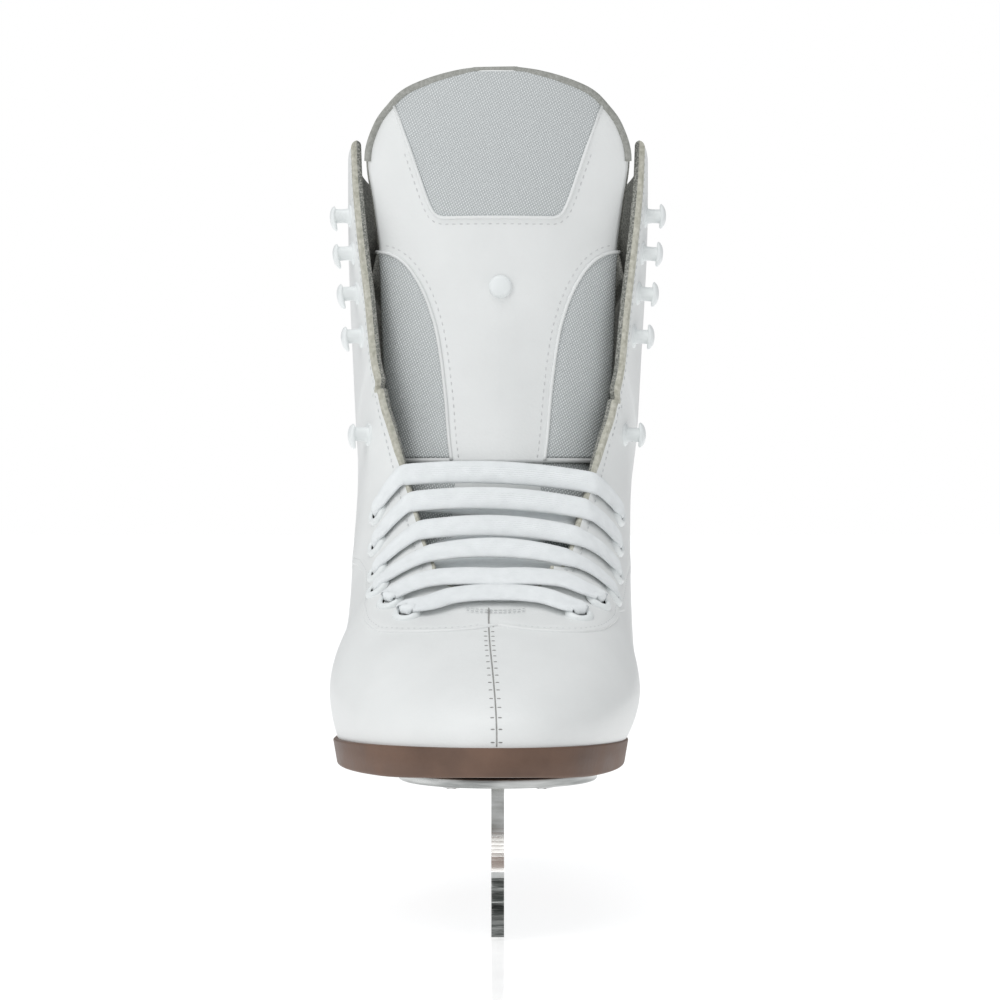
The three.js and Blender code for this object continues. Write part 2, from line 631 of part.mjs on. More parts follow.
function mountPlate(plate, frontRound, holes) {
  const middle = (plate.front + plate.back) / 2;
  const half = (plate.back - plate.front) / 2;
  const ring = (z) => span(0, 2 * Math.PI * (27 / 28), 27).map((a) => {
    const front = Math.cos(a) < 0;
    const y = middle + half * signedPower(Math.cos(a), front ? frontRound : 0.45);
    return V(plate.half * signedPower(Math.sin(a), front ? Math.max(frontRound, 0.6) : 0.6), y, z);
  });
  let solid = loft([ring(plate.top - plate.thick), ring(plate.top)]);
  for (const [x, y] of holes) {
    solid = solid.subtract(turned([[2.2, -20], [2.2, 20]], 12).translate([x, y, plate.top]));
  }
  return solid;
}
const SOLE_SCREWS = [[-14, -106], [14, -106], [-25, -78], [25, -78], [-22, -48], [22, -48]];
const HEEL_SCREWS = [[-15.2, 80], [15.2, 80], [-15.2, 116], [15.2, 116]];
add('sole_plate', mountPlate(PLATE, 0.95, SOLE_SCREWS), STEEL);
add('heel_plate', mountPlate(HEEL_PLATE, 0.45, HEEL_SCREWS), STEEL);
function screws(prefix, plate, spots, depth) {
  spots.forEach(([x, y], i) => {
    const under = plate.top - plate.thick;
    const screw = turned([[2.4, -1.4], [3.9, -0.8], [3.9, -0.3], [1.8, -0.3], [1.8, depth]], 8);
    add(`${prefix}_${i + 1}`, screw.translate([x, y, under]), STEEL);
  });
}
screws('sole_plate_screw', PLATE, SOLE_SCREWS, 8.5);
screws('heel_plate_screw', HEEL_PLATE, HEEL_SCREWS, 13);
const pilot = (x, y, from, to) => turned([[2.2, from], [2.2, to]], 12).translate([x, y, 0]);
for (const [x, y] of SOLE_SCREWS) {
  outsole = outsole.subtract(pilot(x, y, 40, PLATE.top - PLATE.thick + 9));
}
for (const [x, y] of HEEL_SCREWS) {
  const drill = pilot(x, y, 50, HEEL_PLATE.top - HEEL_PLATE.thick + 13.5);
  heelBlock = heelBlock.subtract(drill);
  heelLift = heelLift.subtract(drill);
}
add('outsole', outsole, SOLE);
add('heel_block', heelBlock, SOLE);
add('heel_top_lift', heelLift, SOLE);

// ---------------------------------------------------------------- tongue
// Stations down the middle of the tongue front: y, z, half width, how far the edges fall back, thickness.
const TONGUE_LOW = [
  { y: -74, z: 93.5, half: 14, fall: 4, thick: 3, inY: 0.35, inZ: -0.94 },
  { y: -66, z: 98.5, half: 20, fall: 6, thick: 5, inY: 0.45, inZ: -0.89 },
  { y: -55.2, z: 102.8, half: 26, fall: 8, thick: 6, inY: 0.55, inZ: -0.83 },
  { y: -40.6, z: 113.4, half: 29, fall: 9, thick: 6.5, inY: 0.6, inZ: -0.8 },
  { y: -29, z: 121.6, half: 31, fall: 10, thick: 7, inY: 0.65, inZ: -0.76 },
  { y: -16.4, z: 131.6, half: 31.4, fall: 11, thick: 6, inY: 0.75, inZ: -0.66 },
  { y: -7.4, z: 141.6, half: 33.2, fall: 12, thick: 6, inY: 0.87, inZ: -0.5 },
  { y: -3.6, z: 150.2, half: 34, fall: 13, thick: 6, inY: 0.97, inZ: -0.25 },
];
const TONGUE_HIGH = [
  { y: -3.0, z: 151.4, half: 34.4, fall: 13, thick: 6 },
  { y: -0.5, z: 158, half: 36, fall: 13.5, thick: 7 },
  { y: 2, z: 168, half: 38.6, fall: 14, thick: 8.5 },
  { y: 3.4, z: 182, half: 40, fall: 14, thick: 9 },
  { y: 4, z: 200, half: 40.6, fall: 14, thick: 9 },
  { y: 3.6, z: 218, half: 41.3, fall: 14, thick: 9 },
  { y: 2.2, z: 236, half: 43, fall: 13.5, thick: 9 },
  { y: 0.2, z: 252, half: 44.6, fall: 12.5, thick: 9 },
  { y: -2, z: 262.5, half: 41.6, fall: 11, thick: 8 },
  { y: -3.5, z: 269, half: 37.4, fall: 9, thick: 7 },
  { y: -4.6, z: 273.4, half: 32.2, fall: 6, thick: 6 },
  { y: -5.4, z: 276.6, half: 24, fall: 3, thick: 5 },
  { y: -6, z: 279.2, half: 14.5, fall: 1, thick: 3.6 },
  { y: -6.1, z: 280.6, half: 6, fall: 0.2, thick: 2.4 },
];
function padFrom(rows, cols) {
  const face = (back) => rows.map((r) => span(-1, 1, cols).map((k) => {
    const wide = r.half;
    const edge = 1 - 0.55 * Math.abs(k) ** 3;
    const depth = r.fall * k * k + (back ? r.thick * edge : 0);
    const inY = r.inY ?? 1;
    const inZ = r.inZ ?? 0;
    return V(k * wide, r.y + inY * depth, r.z + inZ * depth);
  }));
  return between(face(false), face(true));
}
add('tongue_lower', padFrom(TONGUE_LOW, 8), LEATHER);
const STUD_Z = 208;
const studAt = V(0, 3.85, STUD_Z);
const stud = turned([[1.6, -4.5], [1.6, 0.3], [4.0, 0.3], [4.0, 1.2], [3.3, 2.2], [1.6, 2.8]], 16);
add('tongue_stud', aim(stud, studAt, V(0, -1, 0), V(0, 0, 1)), LACE);
const studHole = aim(turned([[2.0, -6], [2.0, 6]], 12), studAt, V(0, -1, 0), V(0, 0, 1));
add('tongue_upper', padFrom(TONGUE_HIGH, 8).subtract(studHole), MESH_GREY);

// ---------------------------------------------------------------- lace
// Flat lace, laced straight across: a bar over every eyelet pair and a crossing under the facing.
const LACE_WIDE = 8.5;
const LACE_THICK = 1.4;

// Ribbon through points {p, n, wide, thick}: n is its face direction.
function ribbon(stops) {
  const rings = stops.map(({ p, n, wide = LACE_WIDE, thick = LACE_THICK }, i) => {
    const a = stops[Math.max(i - 1, 0)].p;
    const b = stops[Math.min(i + 1, stops.length - 1)].p;
    const side = new THREE.Vector3().crossVectors(b.clone().sub(a), n).normalize();
    const face = new THREE.Vector3().crossVectors(side, b.clone().sub(a)).normalize();
    return [[-1, -0.5], [-0.94, 0.5], [0.94, 0.5], [1, -0.5]].map(([s, f]) => p.clone()
      .addScaledVector(side, (s * wide) / 2).addScaledVector(face, f * thick));
  });
  return loft(rings);
}

// The same point of the opening line carried across the gap, bowed out over the tongue.
const BAR_CUTS = [0.35, 1.36, 2.45, 3.44];
const BAR_BOW = 2.6;
const UNDER_LIFT = -4.7;
const UNDER_BOW = 2.2;
const OVER_LIFT = 2.5;
const edgeAt = (side, u, lift) => onSkin(side, u, openEdge(side, u), lift);
const spotAt = (side, i) => (side < 0 ? EYELETS.left : EYELETS.right)[i];
const stopAt = (side, u, t, lift, extra = {}) => ({
  p: onSkin(side, u, t, lift), n: skinNormal(side, u, t), ...extra,
});

// Plan routes of the two lowest bars, from the middle out; they lie on the leather below the throat.
const LOW_BARS = [
  [[0, -67.4], [8, -67.7], [15, -68.8], [21.5, -71.4]],
  [[0, -60.6], [10, -60.2], [20, -60], [27, -61]],
];

function bar(i) {
  const middle = [];
  if (i < 2) {
    const half = (side) => LOW_BARS[i].filter(([x]) => x > 0 || side < 0).map(([x, y]) => {
      const at = settle(side, side * Math.max(x, 0.5), y);
      return stopAt(side, at.u, at.t, OVER_LIFT);
    });
    middle.push(...half(-1).reverse(), ...half(1));
  } else {
    const u = BAR_CUTS[i - 2];
    const [a, b] = [edgeAt(-1, u, OVER_LIFT), edgeAt(1, u, OVER_LIFT)];
    const c = cut(1, u);
    const out = V(0, c.ry - c.sy, c.rz - c.sz).normalize();
    const face = V(0, -Math.min(0.5 + 0.1 * i, 0.9), 0.75 - 0.06 * i).normalize();
    for (const k of span(0.02, 0.98, 6)) {
      const p = a.clone().lerp(b, k).addScaledVector(out, BAR_BOW * 4 * k * (1 - k));
      const leather = skinNormal(k < 0.5 ? -1 : 1, u, 0.25);
      middle.push({ p, n: face.clone().lerp(leather, Math.abs(k - 0.5)).normalize() });
    }
  }
  const end = (side) => {
    const e = spotAt(side, i);
    const uBar = i < 2 ? e.u : BAR_CUTS[i - 2];
    const tBar = i < 2 ? e.t * 0.86 : openEdge(side, uBar);
    const steps = i < 2 ? [0.5] : [0.15, 0.35, 0.55, 0.8];
    const part = (k) => stopAt(side, uBar + (e.u - uBar) * k, tBar + (e.t - tBar) * k, OVER_LIFT);
    const over = steps.map(part);
    return [...over, stopAt(side, e.u, e.t, OVER_LIFT, { wide: 3.6, thick: 1.5 })];
  };
  return ribbon([...end(-1).reverse(), ...middle, ...end(1)]);
}

// The part of the lace inside an eyelet.
function through(side, i) {
  const e = spotAt(side, i);
  const core = turned([[1.5, UNDER_LIFT], [1.5, 2.2]], 6);
  return aim(core, skinPoint(side, e.u, e.t), skinNormal(side, e.u, e.t), V(0, 0, 1));
}

// Crossing under the facing from eyelet row i on one side to row j on the other.
function crossing(side, i, j) {
  const a = spotAt(side, i);
  const b = spotAt(-side, j);
  const uNear = Math.max(a.u + (b.u - a.u) * 0.3, 0.05);
  const uFar = Math.max(a.u + (b.u - a.u) * 0.7, 0.05);
  const half = (s, e, u) => [
    stopAt(s, e.u, e.t, UNDER_LIFT, { wide: 4 }),
    stopAt(s, (e.u + u) / 2, (e.t + openEdge(s, u)) / 2, UNDER_LIFT),
    stopAt(s, u, openEdge(s, u), UNDER_LIFT),
  ];
  const first = half(side, a, uNear);
  const last = half(-side, b, uFar).reverse();
  const c = cut(1, (uNear + uFar) / 2);
  const out = V(0, c.ry - c.sy, c.rz - c.sz).normalize();
  const middle = [0.25, 0.5, 0.75].map((k) => ({
    p: first[2].p.clone().lerp(last[0].p, k).addScaledVector(out, UNDER_BOW * 4 * k * (1 - k)),
    n: first[2].n.clone().lerp(last[0].n, k).normalize(),
  }));
  return ribbon([...first, ...middle, ...last]);
}
let lace = bar(0);
for (let i = 1; i < ROWS; i += 1) {
  lace = lace.add(bar(i));
}
for (const [, side] of SIDES) {
  for (let i = 0; i < ROWS; i += 1) {
    lace = lace.add(through(side, i));
  }
}
// Side and rows that each crossing joins. They skip a row, so the lace runs in two ladders, and its ends
// come out at left row 5 and right row 6.
const CROSSINGS = [[1, 0, 1], [-1, 0, 2], [1, 1, 3], [-1, 2, 4], [1, 3, 5]];
for (const [side, i, j] of CROSSINGS) {
  lace = lace.add(crossing(side, i, j));
}
add('lace', lace, LACE);

// Free lace ends: each hangs down the inside wall and lies flat along the footbed.
const TAILS = {
  left: [[-35.5, -15, 115], [-37, -14.5, 107], [-36.5, -15.5, 98], [-34.5, -19, 88.5], [-31.5, -26, 79.5],
    [-27.5, -36, 73.2], [-23.5, -49, 69.2], [-20.5, -62, 68.2], [-18, -76, 68.2], [-16.5, -88, 68.4],
    [-13, -100, 68.6], [-3, -107.5, 68.8], [8, -104, 68.7], [15, -94, 68.5], [17.5, -80, 68.3],
    [18, -64, 68.2], [18, -48, 68.4], [17.5, -32, 69.2], [17.5, -16, 74.4], [17.5, -2, 78.2],
    [17.5, 12, 83.6]],
  right: [[36.5, 1, 123], [37.5, 5, 114.5], [37, 11, 106.5], [34.5, 19, 99.5], [30.5, 28, 95],
    [26, 38, 95.7], [22, 49, 98.9], [19, 61, 103.2], [17.5, 73, 106.1], [15.5, 86, 107.7], [9, 98, 108.7],
    [-2, 102.5, 109.1], [-12, 96, 108.5], [-16, 84, 107.5], [-17, 70, 105.5], [-15.5, 55, 101.1],
    [-11, 41, 94.9], [-6, 28, 89.1], [-2.5, 14, 82.5], [-1, 0, 77.7], [-0.5, -14, 73.5], [0, -28, 71.3],
    [0.5, -42, 69.9], [1, -56, 69.3]],
};
const AGLET = { long: 22, radius: 1.3, gap: 0.4 };
for (const [name, side] of SIDES) {
  const route = TAILS[name].map(([x, y, z]) => V(x, y, z));
  const curve = new THREE.CatmullRomCurve3(route, false, 'centripetal');
  const steps = 26;
  const stops = curve.getSpacedPoints(steps).map((p, i) => {
    const turn = Math.min(i / 6, 1);
    return { p, n: V(-side * (1 - turn), 0, turn).normalize() };
  });
  add(`lace_tail_${name}`, ribbon(stops), LACE);
  const along = curve.getTangent(1);
  const tip = turned([[AGLET.radius, AGLET.gap], [AGLET.radius, AGLET.gap + AGLET.long]], 8);
  add(`aglet_${name}`, aim(tip, curve.getPoint(1).add(V(0, 0, 0.7)), along, V(0, 0, 1)), STEEL);
}

export default root;
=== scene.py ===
"""Figure skate for the right foot: leather boot, padded tongue, brown heeled sole, screwed-on blade."""
import math

import bmesh
import bpy
from mathutils import Matrix, Vector
from mathutils.bvhtree import BVHTree


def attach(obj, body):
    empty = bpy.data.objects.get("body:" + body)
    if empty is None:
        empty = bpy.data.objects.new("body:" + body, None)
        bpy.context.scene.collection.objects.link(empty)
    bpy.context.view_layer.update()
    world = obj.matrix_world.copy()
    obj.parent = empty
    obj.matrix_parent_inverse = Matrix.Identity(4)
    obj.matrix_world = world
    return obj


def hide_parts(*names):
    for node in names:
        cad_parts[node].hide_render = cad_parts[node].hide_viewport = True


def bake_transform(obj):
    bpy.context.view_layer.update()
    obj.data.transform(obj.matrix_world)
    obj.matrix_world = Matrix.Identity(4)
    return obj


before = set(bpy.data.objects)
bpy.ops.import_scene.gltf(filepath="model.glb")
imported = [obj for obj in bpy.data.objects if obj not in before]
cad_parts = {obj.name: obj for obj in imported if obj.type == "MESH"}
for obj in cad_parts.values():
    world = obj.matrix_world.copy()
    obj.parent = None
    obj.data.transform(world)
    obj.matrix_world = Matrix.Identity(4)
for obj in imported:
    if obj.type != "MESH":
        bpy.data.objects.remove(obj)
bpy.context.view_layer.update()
MM = 0.001


# ---- Camera, light and floor -------------------------------------------------------------------------
# A level camera straight in front of the toe, soft overhead light with a weaker key from the left, and a
# white floor that runs off to a white surround.
camera_data = bpy.data.cameras.new("camera")
camera_data.lens = 125.9
camera_data.sensor_width = 36
camera = bpy.data.objects.new("camera", camera_data)
camera.location = (0.0007, -1.189, 0.1345)
camera.rotation_euler = (math.radians(90), 0, 0)
bpy.context.collection.objects.link(camera)
bpy.context.scene.camera = camera
bpy.context.scene.view_settings.view_transform = "Standard"

world = bpy.data.worlds.new("studio")
bpy.context.scene.world = world
world.use_nodes = True
tree = world.node_tree
tree.nodes.clear()
seen = tree.nodes.new("ShaderNodeBackground")
seen.inputs["Color"].default_value = (1, 1, 1, 1)
seen.inputs["Strength"].default_value = 1.0
cast = tree.nodes.new("ShaderNodeBackground")
cast.inputs["Color"].default_value = (0.97, 0.985, 1.0, 1)
cast.inputs["Strength"].default_value = 0.5
rays = tree.nodes.new("ShaderNodeLightPath")
either = tree.nodes.new("ShaderNodeMixShader")
out = tree.nodes.new("ShaderNodeOutputWorld")
tree.links.new(rays.outputs["Is Camera Ray"], either.inputs[0])
tree.links.new(cast.outputs[0], either.inputs[1])
tree.links.new(seen.outputs[0], either.inputs[2])
tree.links.new(either.outputs[0], out.inputs[0])


def lamp(name, kind, energy, place, aim, size):
    data = bpy.data.lights.new(name, kind)
    data.energy = energy
    if kind == "AREA":
        data.size = size
    else:
        data.angle = size
    made = bpy.data.objects.new(name, data)
    made.location = place
    made.rotation_euler = (Vector(aim) - Vector(place)).to_track_quat("-Z", "Y").to_euler()
    bpy.context.collection.objects.link(made)


lamp("sky_sun", "SUN", 1.07, (-0.5, -0.9, 2.6), (0, 0, 0.1), math.radians(50))
lamp("key", "AREA", 4.4, (-1.1, -1.3, 0.75), (0, 0, 0.14), 0.9)

floor_mesh = bpy.data.meshes.new("floor")
grid = bmesh.new()
bmesh.ops.create_grid(grid, x_segments=1, y_segments=1, size=12)
grid.to_mesh(floor_mesh)
grid.free()
floor = bpy.data.objects.new("floor", floor_mesh)
floor.location.z = -0.0004
bpy.context.collection.objects.link(floor)
paint = bpy.data.materials.new("floor_white")
paint.use_nodes = True
floor_shader = paint.node_tree.nodes["Principled BSDF"]
floor_shader.inputs["Base Color"].default_value = (0.64, 0.64, 0.64, 1)
floor_shader.inputs["Roughness"].default_value = 0.06
floor_shader.inputs["Specular IOR Level"].default_value = 0.4
floor_shader.inputs["Emission Color"].default_value = (1, 1, 1, 1)
floor_shader.inputs["Emission Strength"].default_value = 0.6
floor_mesh.materials.append(paint)
floor_wear = paint.node_tree.nodes.new("ShaderNodeTexNoise")
floor_wear.inputs["Scale"].default_value = 40.0
floor_range = paint.node_tree.nodes.new("ShaderNodeMapRange")
floor_range.inputs["To Min"].default_value = 0.04
floor_range.inputs["To Max"].default_value = 0.09
paint.node_tree.links.new(floor_wear.outputs["Fac"], floor_range.inputs["Value"])
paint.node_tree.links.new(floor_range.outputs[0], floor_shader.inputs["Roughness"])

# ---- Free lace ends ----------------------------------------------------------------------------------
# Flat woven polyester lace, 8.5 mm wide. Each end leaves the last eyelet inside the boot, hangs down the
# wall and lies along the footbed to its hard tip. The ribbon is one ring of the woven section swept along.
LACE_WIDE = 8.5
LACE_THICK = 1.7
LACE_SIDES = 14


def material(name, colour, roughness):
    """A named material with a plain shader, ready for more nodes."""
    made = bpy.data.materials.new(name)
    made.use_nodes = True
    nodes = made.node_tree.nodes
    shader = nodes["Principled BSDF"]
    shader.inputs["Base Color"].default_value = (*colour, 1)
    shader.inputs["Roughness"].default_value = roughness
    made.diffuse_color = (*colour, 1)
    return made


def node(made, kind, links=(), **values):
    """Adds a node; values set its inputs or properties, links are (input name, other node, output name)."""
    new = made.node_tree.nodes.new(kind)
    for key, value in values.items():
        if key in new.inputs:
            new.inputs[key].default_value = value
        else:
            setattr(new, key, value)
    for name, other, port in links:
        made.node_tree.links.new(other.outputs[port], new.inputs[name])
    return new


def mottle(made, colour, other, scale, roughness, spread, vector=None):
    """Breaks up the base colour and the roughness with a soft noise."""
    coord = node(made, "ShaderNodeTexCoord")
    noise = node(made, "ShaderNodeTexNoise", [("Vector", coord, "Object")], Scale=scale, Detail=5.0)
    ramp = node(made, "ShaderNodeMapRange", [("Value", noise, "Fac")], **{"From Min": 0.3, "From Max": 0.7})
    mix = node(made, "ShaderNodeMix", data_type="RGBA")
    mix.inputs[6].default_value = (*colour, 1)
    mix.inputs[7].default_value = (*other, 1)
    made.node_tree.links.new(ramp.outputs[0], mix.inputs[0])
    shader = made.node_tree.nodes["Principled BSDF"]
    made.node_tree.links.new(mix.outputs[2], shader.inputs["Base Color"])
    rough = node(made, "ShaderNodeMapRange", [("Value", noise, "Fac")],
                 **{"From Min": 0.3, "From Max": 0.7, "To Min": roughness, "To Max": roughness + spread})
    made.node_tree.links.new(rough.outputs[0], shader.inputs["Roughness"])
    return coord, mix


def bump(made, height, port, strength, distance, below=None):
    """Adds a bump over whatever normal the shader already has."""
    made_bump = node(made, "ShaderNodeBump", [("Height", height, port)], Strength=strength, Distance=distance)
    shader = made.node_tree.nodes["Principled BSDF"]
    if below is not None:
        made.node_tree.links.new(below.outputs[0], made_bump.inputs["Normal"])
    made.node_tree.links.new(made_bump.outputs[0], shader.inputs["Normal"])
    return made_bump


def piece(name, shape, body, paints, stands_for=(), smooth=True):
    """Turns a finished bmesh into a piece that rides on a body."""
    mesh = bpy.data.meshes.new(name)
    shape.to_mesh(mesh)
    shape.free()
    for one in paints:
        mesh.materials.append(one)
    for face in mesh.polygons:
        face.use_smooth = smooth
    made = bpy.data.objects.new(name, mesh)
    bpy.context.collection.objects.link(made)
    if body:
        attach(made, body)
    if stands_for:
        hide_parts(*stands_for)
    return made


def curve_points(route, count):
    """Even points along a smooth curve through given points."""
    dense = []
    ends = [2 * route[0] - route[1], *route, 2 * route[-1] - route[-2]]
    for i in range(1, len(ends) - 2):
        a, b, c, d = ends[i - 1:i + 3]
        for k in range(24):
            t = k / 24
            dense.append(0.5 * (2 * b + (c - a) * t + (2 * a - 5 * b + 4 * c - d) * t * t
                                + (3 * b - a - 3 * c + d) * t ** 3))
    dense.append(route[-1])
    lengths = [0.0]
    for a, b in zip(dense, dense[1:]):
        lengths.append(lengths[-1] + (b - a).length)
    points = []
    j = 0
    for i in range(count + 1):
        want = lengths[-1] * i / count
        while j < len(dense) - 2 and lengths[j + 1] < want:
            j += 1
        share = (want - lengths[j]) / max(lengths[j + 1] - lengths[j], 1e-9)
        points.append(dense[j].lerp(dense[j + 1], min(share, 1)))
    return points, lengths[-1]


def ribbon(shape, stops, sides=LACE_SIDES):
    """Sweeps the flat woven section through stops of (point, face, width, thickness), in millimetres."""
    uv = shape.loops.layers.uv.verify()
    rings = []
    run = 0.0
    runs = []
    for i, (point, face, wide, thick) in enumerate(stops):
        before = stops[max(i - 1, 0)][0]
        after = stops[min(i + 1, len(stops) - 1)][0]
        along = (after - before).normalized()
        across = along.cross(face).normalized()
        up = across.cross(along).normalized()
        ring = []
        for k in range(sides):
            a = 2 * math.pi * k / sides
            flat = math.copysign(abs(math.cos(a)) ** 0.75, math.cos(a)) * wide / 2
            high = math.copysign(abs(math.sin(a)) ** 0.8, math.sin(a)) * thick / 2
            high *= 1 - 0.16 * math.exp(-(flat / (0.14 * wide)) ** 2)
            ring.append(shape.verts.new((point + across * flat + up * high) * MM))
        rings.append(ring)
        run += (point - before).length
        runs.append(run)
    for i in range(len(rings) - 1):
        for k in range(sides):
            j = (k + 1) % sides
            made = shape.faces.new((rings[i][k], rings[i][j], rings[i + 1][j], rings[i + 1][k]))
            spots = [(k, i), (k + 1, i), (k + 1, i + 1), (k, i + 1)]
            for loop, (a, b) in zip(made.loops, spots):
                loop[uv].uv = (a / sides, runs[b] / LACE_WIDE)
    for ring in (rings[0][::-1], rings[-1]):
        shape.faces.new(ring)


lace_white = material("lace_white", (0.83, 0.86, 0.87), 0.75)
mottle(lace_white, (0.80, 0.83, 0.84), (0.87, 0.90, 0.91), 260.0, 0.7, 0.15)
lace_uv = node(lace_white, "ShaderNodeUVMap")
lace_map = node(lace_white, "ShaderNodeMapping", [("Vector", lace_uv, "UV")], Scale=(44.0, 9.0, 1.0))
lace_weave = node(lace_white, "ShaderNodeTexChecker", [("Vector", lace_map, "Vector")], Scale=1.0)
lace_rib = node(lace_white, "ShaderNodeTexWave", [("Vector", lace_map, "Vector")], Scale=0.32, Distortion=1.5)
lace_low = bump(lace_white, lace_weave, "Fac", 0.35, 0.0002)
bump(lace_white, lace_rib, "Fac", 0.3, 0.0002, lace_low)
lace_white.node_tree.nodes["Principled BSDF"].inputs["Sheen Weight"].default_value = 0.25

TAIL_ROUTES = {
    "left": [(-35.5, -15, 115), (-37, -14.5, 107), (-36.5, -15.5, 98), (-34.5, -19, 88.5), (-31.5, -26, 79.5),
             (-27.5, -36, 73.2), (-23.5, -49, 69.2), (-20.5, -62, 68.2), (-18, -76, 68.2), (-16.5, -88, 68.4),
             (-13, -100, 68.6), (-3, -107.5, 68.8), (8, -104, 68.7), (15, -94, 68.5), (17.5, -80, 68.3),
             (18, -64, 68.2), (18, -48, 68.4), (17.5, -32, 69.2), (17.5, -16, 74.4), (17.5, -2, 78.2),
             (17.5, 12, 83.6)],
    "right": [(36.5, 1, 123), (37.5, 5, 114.5), (37, 11, 106.5), (34.5, 19, 99.5), (30.5, 28, 95),
              (26, 38, 95.7), (22, 49, 98.9), (19, 61, 103.2), (17.5, 73, 106.1), (15.5, 86, 107.7),
              (9, 98, 108.7), (-2, 102.5, 109.1), (-12, 96, 108.5), (-16, 84, 107.5), (-17, 70, 105.5),
              (-15.5, 55, 101.1), (-11, 41, 94.9), (-6, 28, 89.1), (-2.5, 14, 82.5), (-1, 0, 77.7),
              (-0.5, -14, 73.5), (0, -28, 71.3), (0.5, -42, 69.9), (1, -56, 69.3)],
}
tip_clear = material("lace_tip", (0.78, 0.8, 0.8), 0.25)
mottle(tip_clear, (0.76, 0.78, 0.78), (0.84, 0.86, 0.86), 900.0, 0.2, 0.15)
for side_name, side in (("left", -1), ("right", 1)):
    route, length = curve_points([Vector(p) for p in TAIL_ROUTES[side_name]], 150)
    stops = []
    for i, point in enumerate(route):
        turn = min(i / 35, 1)
        face = Vector((-side * (1 - turn), 0, turn)).normalized()
        stops.append((point, face, LACE_WIDE - 0.3, 1.3))
    shape = bmesh.new()
    ribbon(shape, stops)
    tail = piece(f"lace_end_{side_name}", shape, "boot", [lace_white], [f"lace_tail_{side_name}"])
    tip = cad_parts[f"aglet_{side_name}"]
    tip.data.materials.clear()
    tip.data.materials.append(tip_clear)

# ---- Boot surface ------------------------------------------------------------------------------------
# Slanted cuts through the boot, toe to collar, in millimetres: ridge y and z, sole or back y and z, half
# width on the left and right, how far the cut wraps in degrees, half width of the front opening.
STATIONS = [
    (-52, 115, -56, 57.3, 54.4, 46.0, 115, 21.0), (-41, 124, -28, 58.4, 52.5, 45.6, 116, 24.6),
    (-31, 134, -6, 63.8, 51.0, 45.4, 120, 27.3), (-21, 145, 15, 71.0, 50.3, 45.4, 128, 30.3),
    (-14, 156, 38, 82.5, 50.0, 45.6, 138, 33.2), (-14, 169, 60, 92.0, 49.4, 46.0, 142, 36.3),
    (-20, 183, 82, 96.6, 49.2, 46.5, 143, 39.3), (-27, 197, 104, 98.6, 49.3, 47.3, 149, 41.3),
    (-30, 206, 119, 99.8, 49.6, 48.3, 160, 42.8), (-31, 212, 124.5, 101.5, 50.0, 49.0, 180, 43.5),
    (-31, 219, 126, 118, 50.6, 49.8, 180, 44.4), (-30, 228, 124.5, 140, 51.3, 50.6, 180, 45.6),
    (-30, 238, 119, 165, 52.0, 51.5, 180, 47.2), (-31, 249, 113, 192, 52.5, 52.3, 180, 48.8),
    (-33, 259, 113.5, 215, 52.6, 52.6, 180, 50.0), (-36, 269, 116, 235, 52.6, 52.6, 180, 50.6),
]
COLLAR = len(STATIONS) - 1
RIDGE_Y, RIDGE_Z, SOLE_Y, SOLE_Z, WIDE_LEFT, WIDE_RIGHT, WRAP, OPEN = range(8)
TOE_PROFILE = [(0, 115), (14, 104.0), (28, 95.6), (44, 89.5), (58, 83.5), (70, 76), (78.4, 68), (80.4, 59.4)]
TOE_ROUND = {-1: 1.0, 1: 0.88}
FRONT_POWER = 0.75
DROP_POWER = 1.1
UNDER_POWER = {-1: 0.55, 1: 1.1}
UNDER_FROM, UNDER_TO = 2, 5
THROAT_T = 0.143
SIDES = (("left", -1), ("right", 1))
cuts_made = {}


def through(rows, column, place):
    """Smooth value of one column at a fractional row."""
    last = len(rows) - 1
    place = min(max(place, 0), last)
    i = min(int(place), last - 1)
    t = place - i
    b = rows[i][column]
    c = rows[i + 1][column]
    a = rows[i - 1][column] if i > 0 else 2 * b - c
    d = rows[i + 2][column] if i + 2 <= last else 2 * c - b
    return 0.5 * (2 * b + (c - a) * t + (2 * a - 5 * b + 4 * c - d) * t * t
                  + (3 * b - a - 3 * c + d) * t ** 3)


def powered(value, power):
    return math.copysign(abs(value) ** power, value)


def cut(side, u):
    key = (side, round(u, 5))
    if key not in cuts_made:
        row = [through(STATIONS, column, max(u, 0)) for column in range(8)]
        row[WRAP] = math.radians(min(row[WRAP], 180))
        cuts_made[key] = row
    return cuts_made[key]


def under_power(side, u):
    """How quickly the sides draw in under the foot: little at the toe's left, even from the arch back."""
    back = min(max((u - UNDER_FROM) / (UNDER_TO - UNDER_FROM), 0), 1)
    return UNDER_POWER[side] + (1 - UNDER_POWER[side]) * back


def skin_point(side, u, t):
    """Outside of the boot: u from -1 (toe tip) by 0 (throat) to COLLAR, t from 0 (ridge) to 1 (sole)."""
    row = cut(side, u)
    wide = row[WIDE_LEFT if side < 0 else WIDE_RIGHT]
    psi = t * row[WRAP]
    across = max(math.sin(psi), 0) ** (FRONT_POWER if psi < math.pi / 2 else under_power(side, u))
    end = powered(math.cos(row[WRAP]), DROP_POWER)
    down = (1 - powered(math.cos(psi), DROP_POWER)) / (1 - end)
    y = row[RIDGE_Y] + (row[SOLE_Y] - row[RIDGE_Y]) * down
    z = row[RIDGE_Z] + (row[SOLE_Z] - row[RIDGE_Z]) * down
    if u >= 0:
        return Vector((side * wide * across, y, z))
    turn = -u * math.pi / 2
    place = t * (len(TOE_PROFILE) - 1)
    toe_z = through(TOE_PROFILE, 1, place)
    forward = through(TOE_PROFILE, 0, place)
    x = side * wide * across * max(math.cos(turn), 0) ** TOE_ROUND[side]
    return Vector((x, y - forward * math.sin(turn), z + (toe_z - z) * math.sin(turn)))


